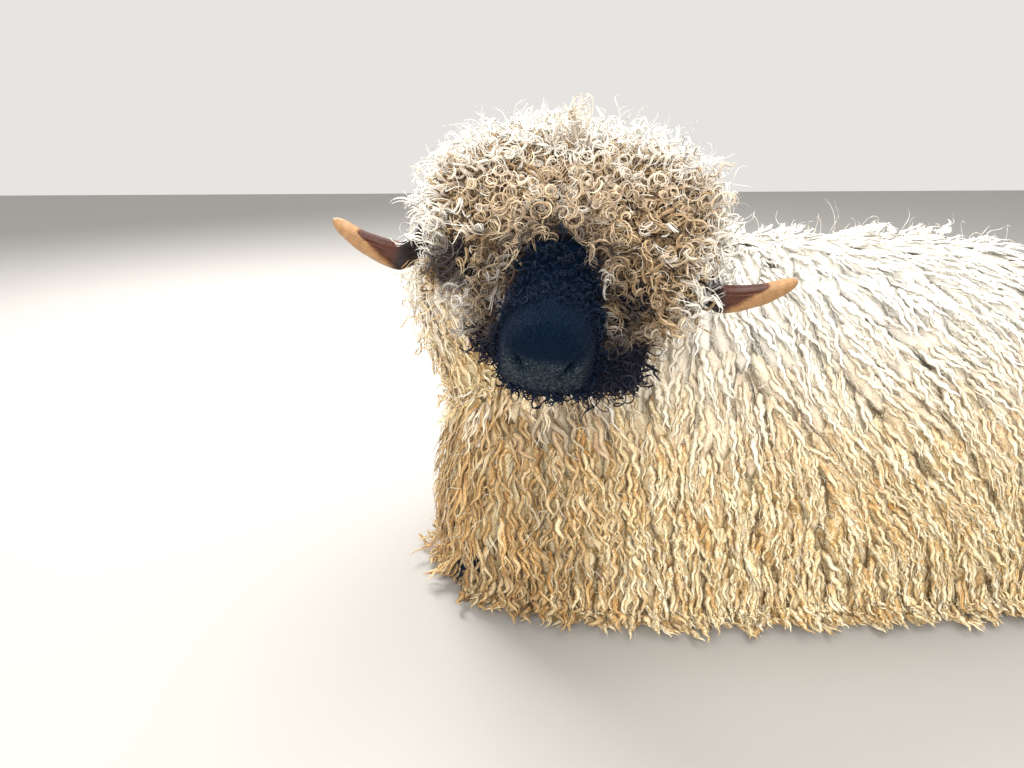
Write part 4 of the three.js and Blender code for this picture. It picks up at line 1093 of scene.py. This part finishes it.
def rimShare(t, angle):
    rimStart, rimFull = hornSet["rim"]
    edge = mix(-1.15, 1.15, np.clip((t - rimStart) / (rimFull - rimStart), 0, 1))
    return 1 - ramp(np.cos(angle) - edge, -hornSet["rimEdge"], hornSet["rimEdge"])


for hand, y in hands.items():
    form = pairedForm(hornSet, hand, headUp, 2.4)

    def grow(t, angle):
        plate = 1 - rimShare(t, angle)
        rings = np.sin(t * hornSet["rings"] + 0.8 * np.sin(t * 17)) * hornSet["ringHeight"] * (1 - t)
        hollow = hornSet["hollow"] * plate * np.abs(np.sin(angle)) ** 0.6
        hollow = hollow * mix(hornSet["hollowAbove"], 1, y * np.sin(angle) > 0)
        flutes = hornSet["flute"] * plate * np.sin(np.cos(angle) * hornSet["flutes"] + 3 * t)
        keep = ramp(t, 0, 0.03) * (1 - ramp(t, 0.97, 1))
        return form.slopes(np.clip(t, 0.002, 0.998), angle)[2] * ((rings + flutes - hollow) * keep)[:, None]

    bm = bmesh.new()
    _, t, angle = addForm(bm, form, 56, 150, 0, grow)
    horn = makePiece("horn_" + hand, bm, hornMaterial)
    way = np.column_stack([rimShare(t, angle), t, np.cos(angle)])
    addAttribute(horn.data, "hornWay", "FLOAT_VECTOR", way)
    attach(horn, "root")
    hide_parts("horn_" + hand)

# eyes with a level pupil; their attribute is the place on the ball in millimetres
eyeMaterial, wires, shader = newMaterial("eye", {"Roughness": 0.08, "Coat Weight": 1.0})
way = wires.attribute("eyeWay")
parts = wires.split(way)
iris = wires.mixed(wires.noise(way, 1.4, 4), (0.10, 0.04, 0.012), (0.50, 0.26, 0.07))
across = wires.maths("MULTIPLY", parts["X"], parts["X"])
upwards = wires.maths("MULTIPLY", parts["Y"], parts["Y"])
pupil = wires.maths("ADD", wires.maths("DIVIDE", across, 30), wires.maths("DIVIDE", upwards, 4.4))
tone = wires.mixed(wires.step(pupil, 0.85, 1.1), (0.003, 0.003, 0.005), iris)
tone = wires.mixed(wires.step(wires.maths("ADD", across, upwards), 66, 84), tone, (0.045, 0.03, 0.022))
wires.links.new(tone, shader.inputs["Base Color"])
for hand, y in hands.items():
    gaze = unit(headLeft * y + faceward * faceSet["gaze"])
    level = unit(np.cross((0, 0, 1), gaze))
    bm = bmesh.new()
    bmesh.ops.create_uvsphere(bm, u_segments=48, v_segments=32, radius=1)
    away = np.array([v.co for v in bm.verts]) * faceSet["eyeRadius"]
    cornea = 1 + 0.05 * (1 - ramp(np.hypot(away[:, 0], away[:, 1]), 4, 9)) * (away[:, 2] > 0)
    turned = away[:, :1] * level + away[:, 1:2] * np.cross(gaze, level) + away[:, 2:] * gaze
    for vert, place in zip(bm.verts, (onHead(y * eyeS, eyeF, eyeU) + turned * cornea[:, None]) / 1000):
        vert.co = place
    bmesh.ops.recalc_face_normals(bm, faces=bm.faces)
    eye = makePiece("eye_" + hand, bm, eyeMaterial)
    addAttribute(eye.data, "eyeWay", "FLOAT_VECTOR", away)
    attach(eye, "root")
    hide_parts("eye_" + hand)

# hooves: two claws to a foot
hoofSet = {"claw": ((-22, 11, 24, 9, 16, 26), (5, 12, 18, 11, 14, 22), (38, 12, 9, 7, 8, 12)),
           "feet": {"fore_left": ((-205, -62, 0), (1, 0.1, 0)), "fore_right": ((-205, 62, 0), (1, -0.1, 0)),
                    "hind_left": ((92, 322, 0), (-0.6, 0.8, 0)),
                    "hind_right": ((178, 357, 0), (-0.92, 0.38, 0))},
           "floor": 0.0006}
hoofMaterial, wires, shader = newMaterial("hoofHorn", {"Roughness": 0.5})
place = wires.add("TexCoord", {}).outputs["Object"]
layers = wires.add("TexWave", {"Vector": place, "Scale": 90, "Distortion": 3, "Detail": 3},
                   bands_direction="Z").outputs["Fac"]
tone = wires.mixed(layers, (0.012, 0.011, 0.012), (0.050, 0.042, 0.036))
wires.links.new(tone, shader.inputs["Base Color"])
wires.relief(shader, layers, 0.5, 0.0008)
for foot, (at, toward) in hoofSet["feet"].items():
    ahead = unit(np.array(toward, float))
    aside = np.cross((0, 0, 1), ahead)
    bm = bmesh.new()
    for sign in (1, -1):
        stations = [(at + ahead * f + aside * (apart * sign) + np.array((0, 0, z)), wide, above, below)
                    for f, apart, z, wide, above, below in hoofSet["claw"]]
        claw = Form(stations, aside, 2.6, (0.2, 0.35))
        for vert in addForm(bm, claw, 32, 28)[0]:
            vert.co.z = max(vert.co.z, hoofSet["floor"])
    hoof = makePiece("hooves_" + foot, bm, hoofMaterial)
    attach(hoof, "root")
    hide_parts(f"hoof_{foot}_inner", f"hoof_{foot}_outer")
print("horns, eyes and hooves finished")

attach(skin, "root")
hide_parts("torso", "neck", "head", "muzzle", "foreleg_left", "foreleg_right", "hindleg_left",
            "hindleg_right_upper", "hindleg_right_lower", "tail", "ear_left", "ear_right")

# floor and light: each light's place, aim, power, size and colour
floorMaterial = newMaterial("studioFloor", {"Base Color": (0.40, 0.39, 0.375), "Roughness": 0.9})[0]
bm = bmesh.new()
bmesh.ops.create_grid(bm, x_segments=1, y_segments=1, size=6)
floor = makePiece("studioFloor", bm, floorMaterial, False)
world = bpy.data.worlds.new("studio")
world.use_nodes = True
background = world.node_tree.nodes["Background"]
background.inputs["Color"].default_value = (1.0, 0.98, 0.95, 1)
background.inputs["Strength"].default_value = 0.80
bpy.context.scene.world = world
lights = {"window": ((-1.3, 2.0, 2.6), (0.0, 0.0, 0.3), 175, 1.6, (1.0, 0.98, 0.95)),
          "front": ((-1.0, -2.8, 1.7), (-0.1, 0.0, 0.3), 98, 2.6, (1.0, 0.97, 0.92)),
          "top": ((0.5, -0.1, 2.6), (0.1, 0.0, 0.3), 45, 1.8, (1.0, 0.99, 0.97))}
for name, (place, aim, power, size, colour) in lights.items():
    data = bpy.data.lights.new(name, "AREA")
    data.energy = power
    data.size = size
    data.color = colour
    lamp = bpy.data.objects.new(name, data)
    lamp.location = place
    x, y, z = np.array(aim) - np.array(place)
    lamp.rotation_euler = (math.atan2(np.hypot(x, y), -z), 0, math.atan2(-x, y))
    bpy.context.scene.collection.objects.link(lamp)
bpy.context.scene.view_settings.view_transform = "Standard"
print("floor and light finished")
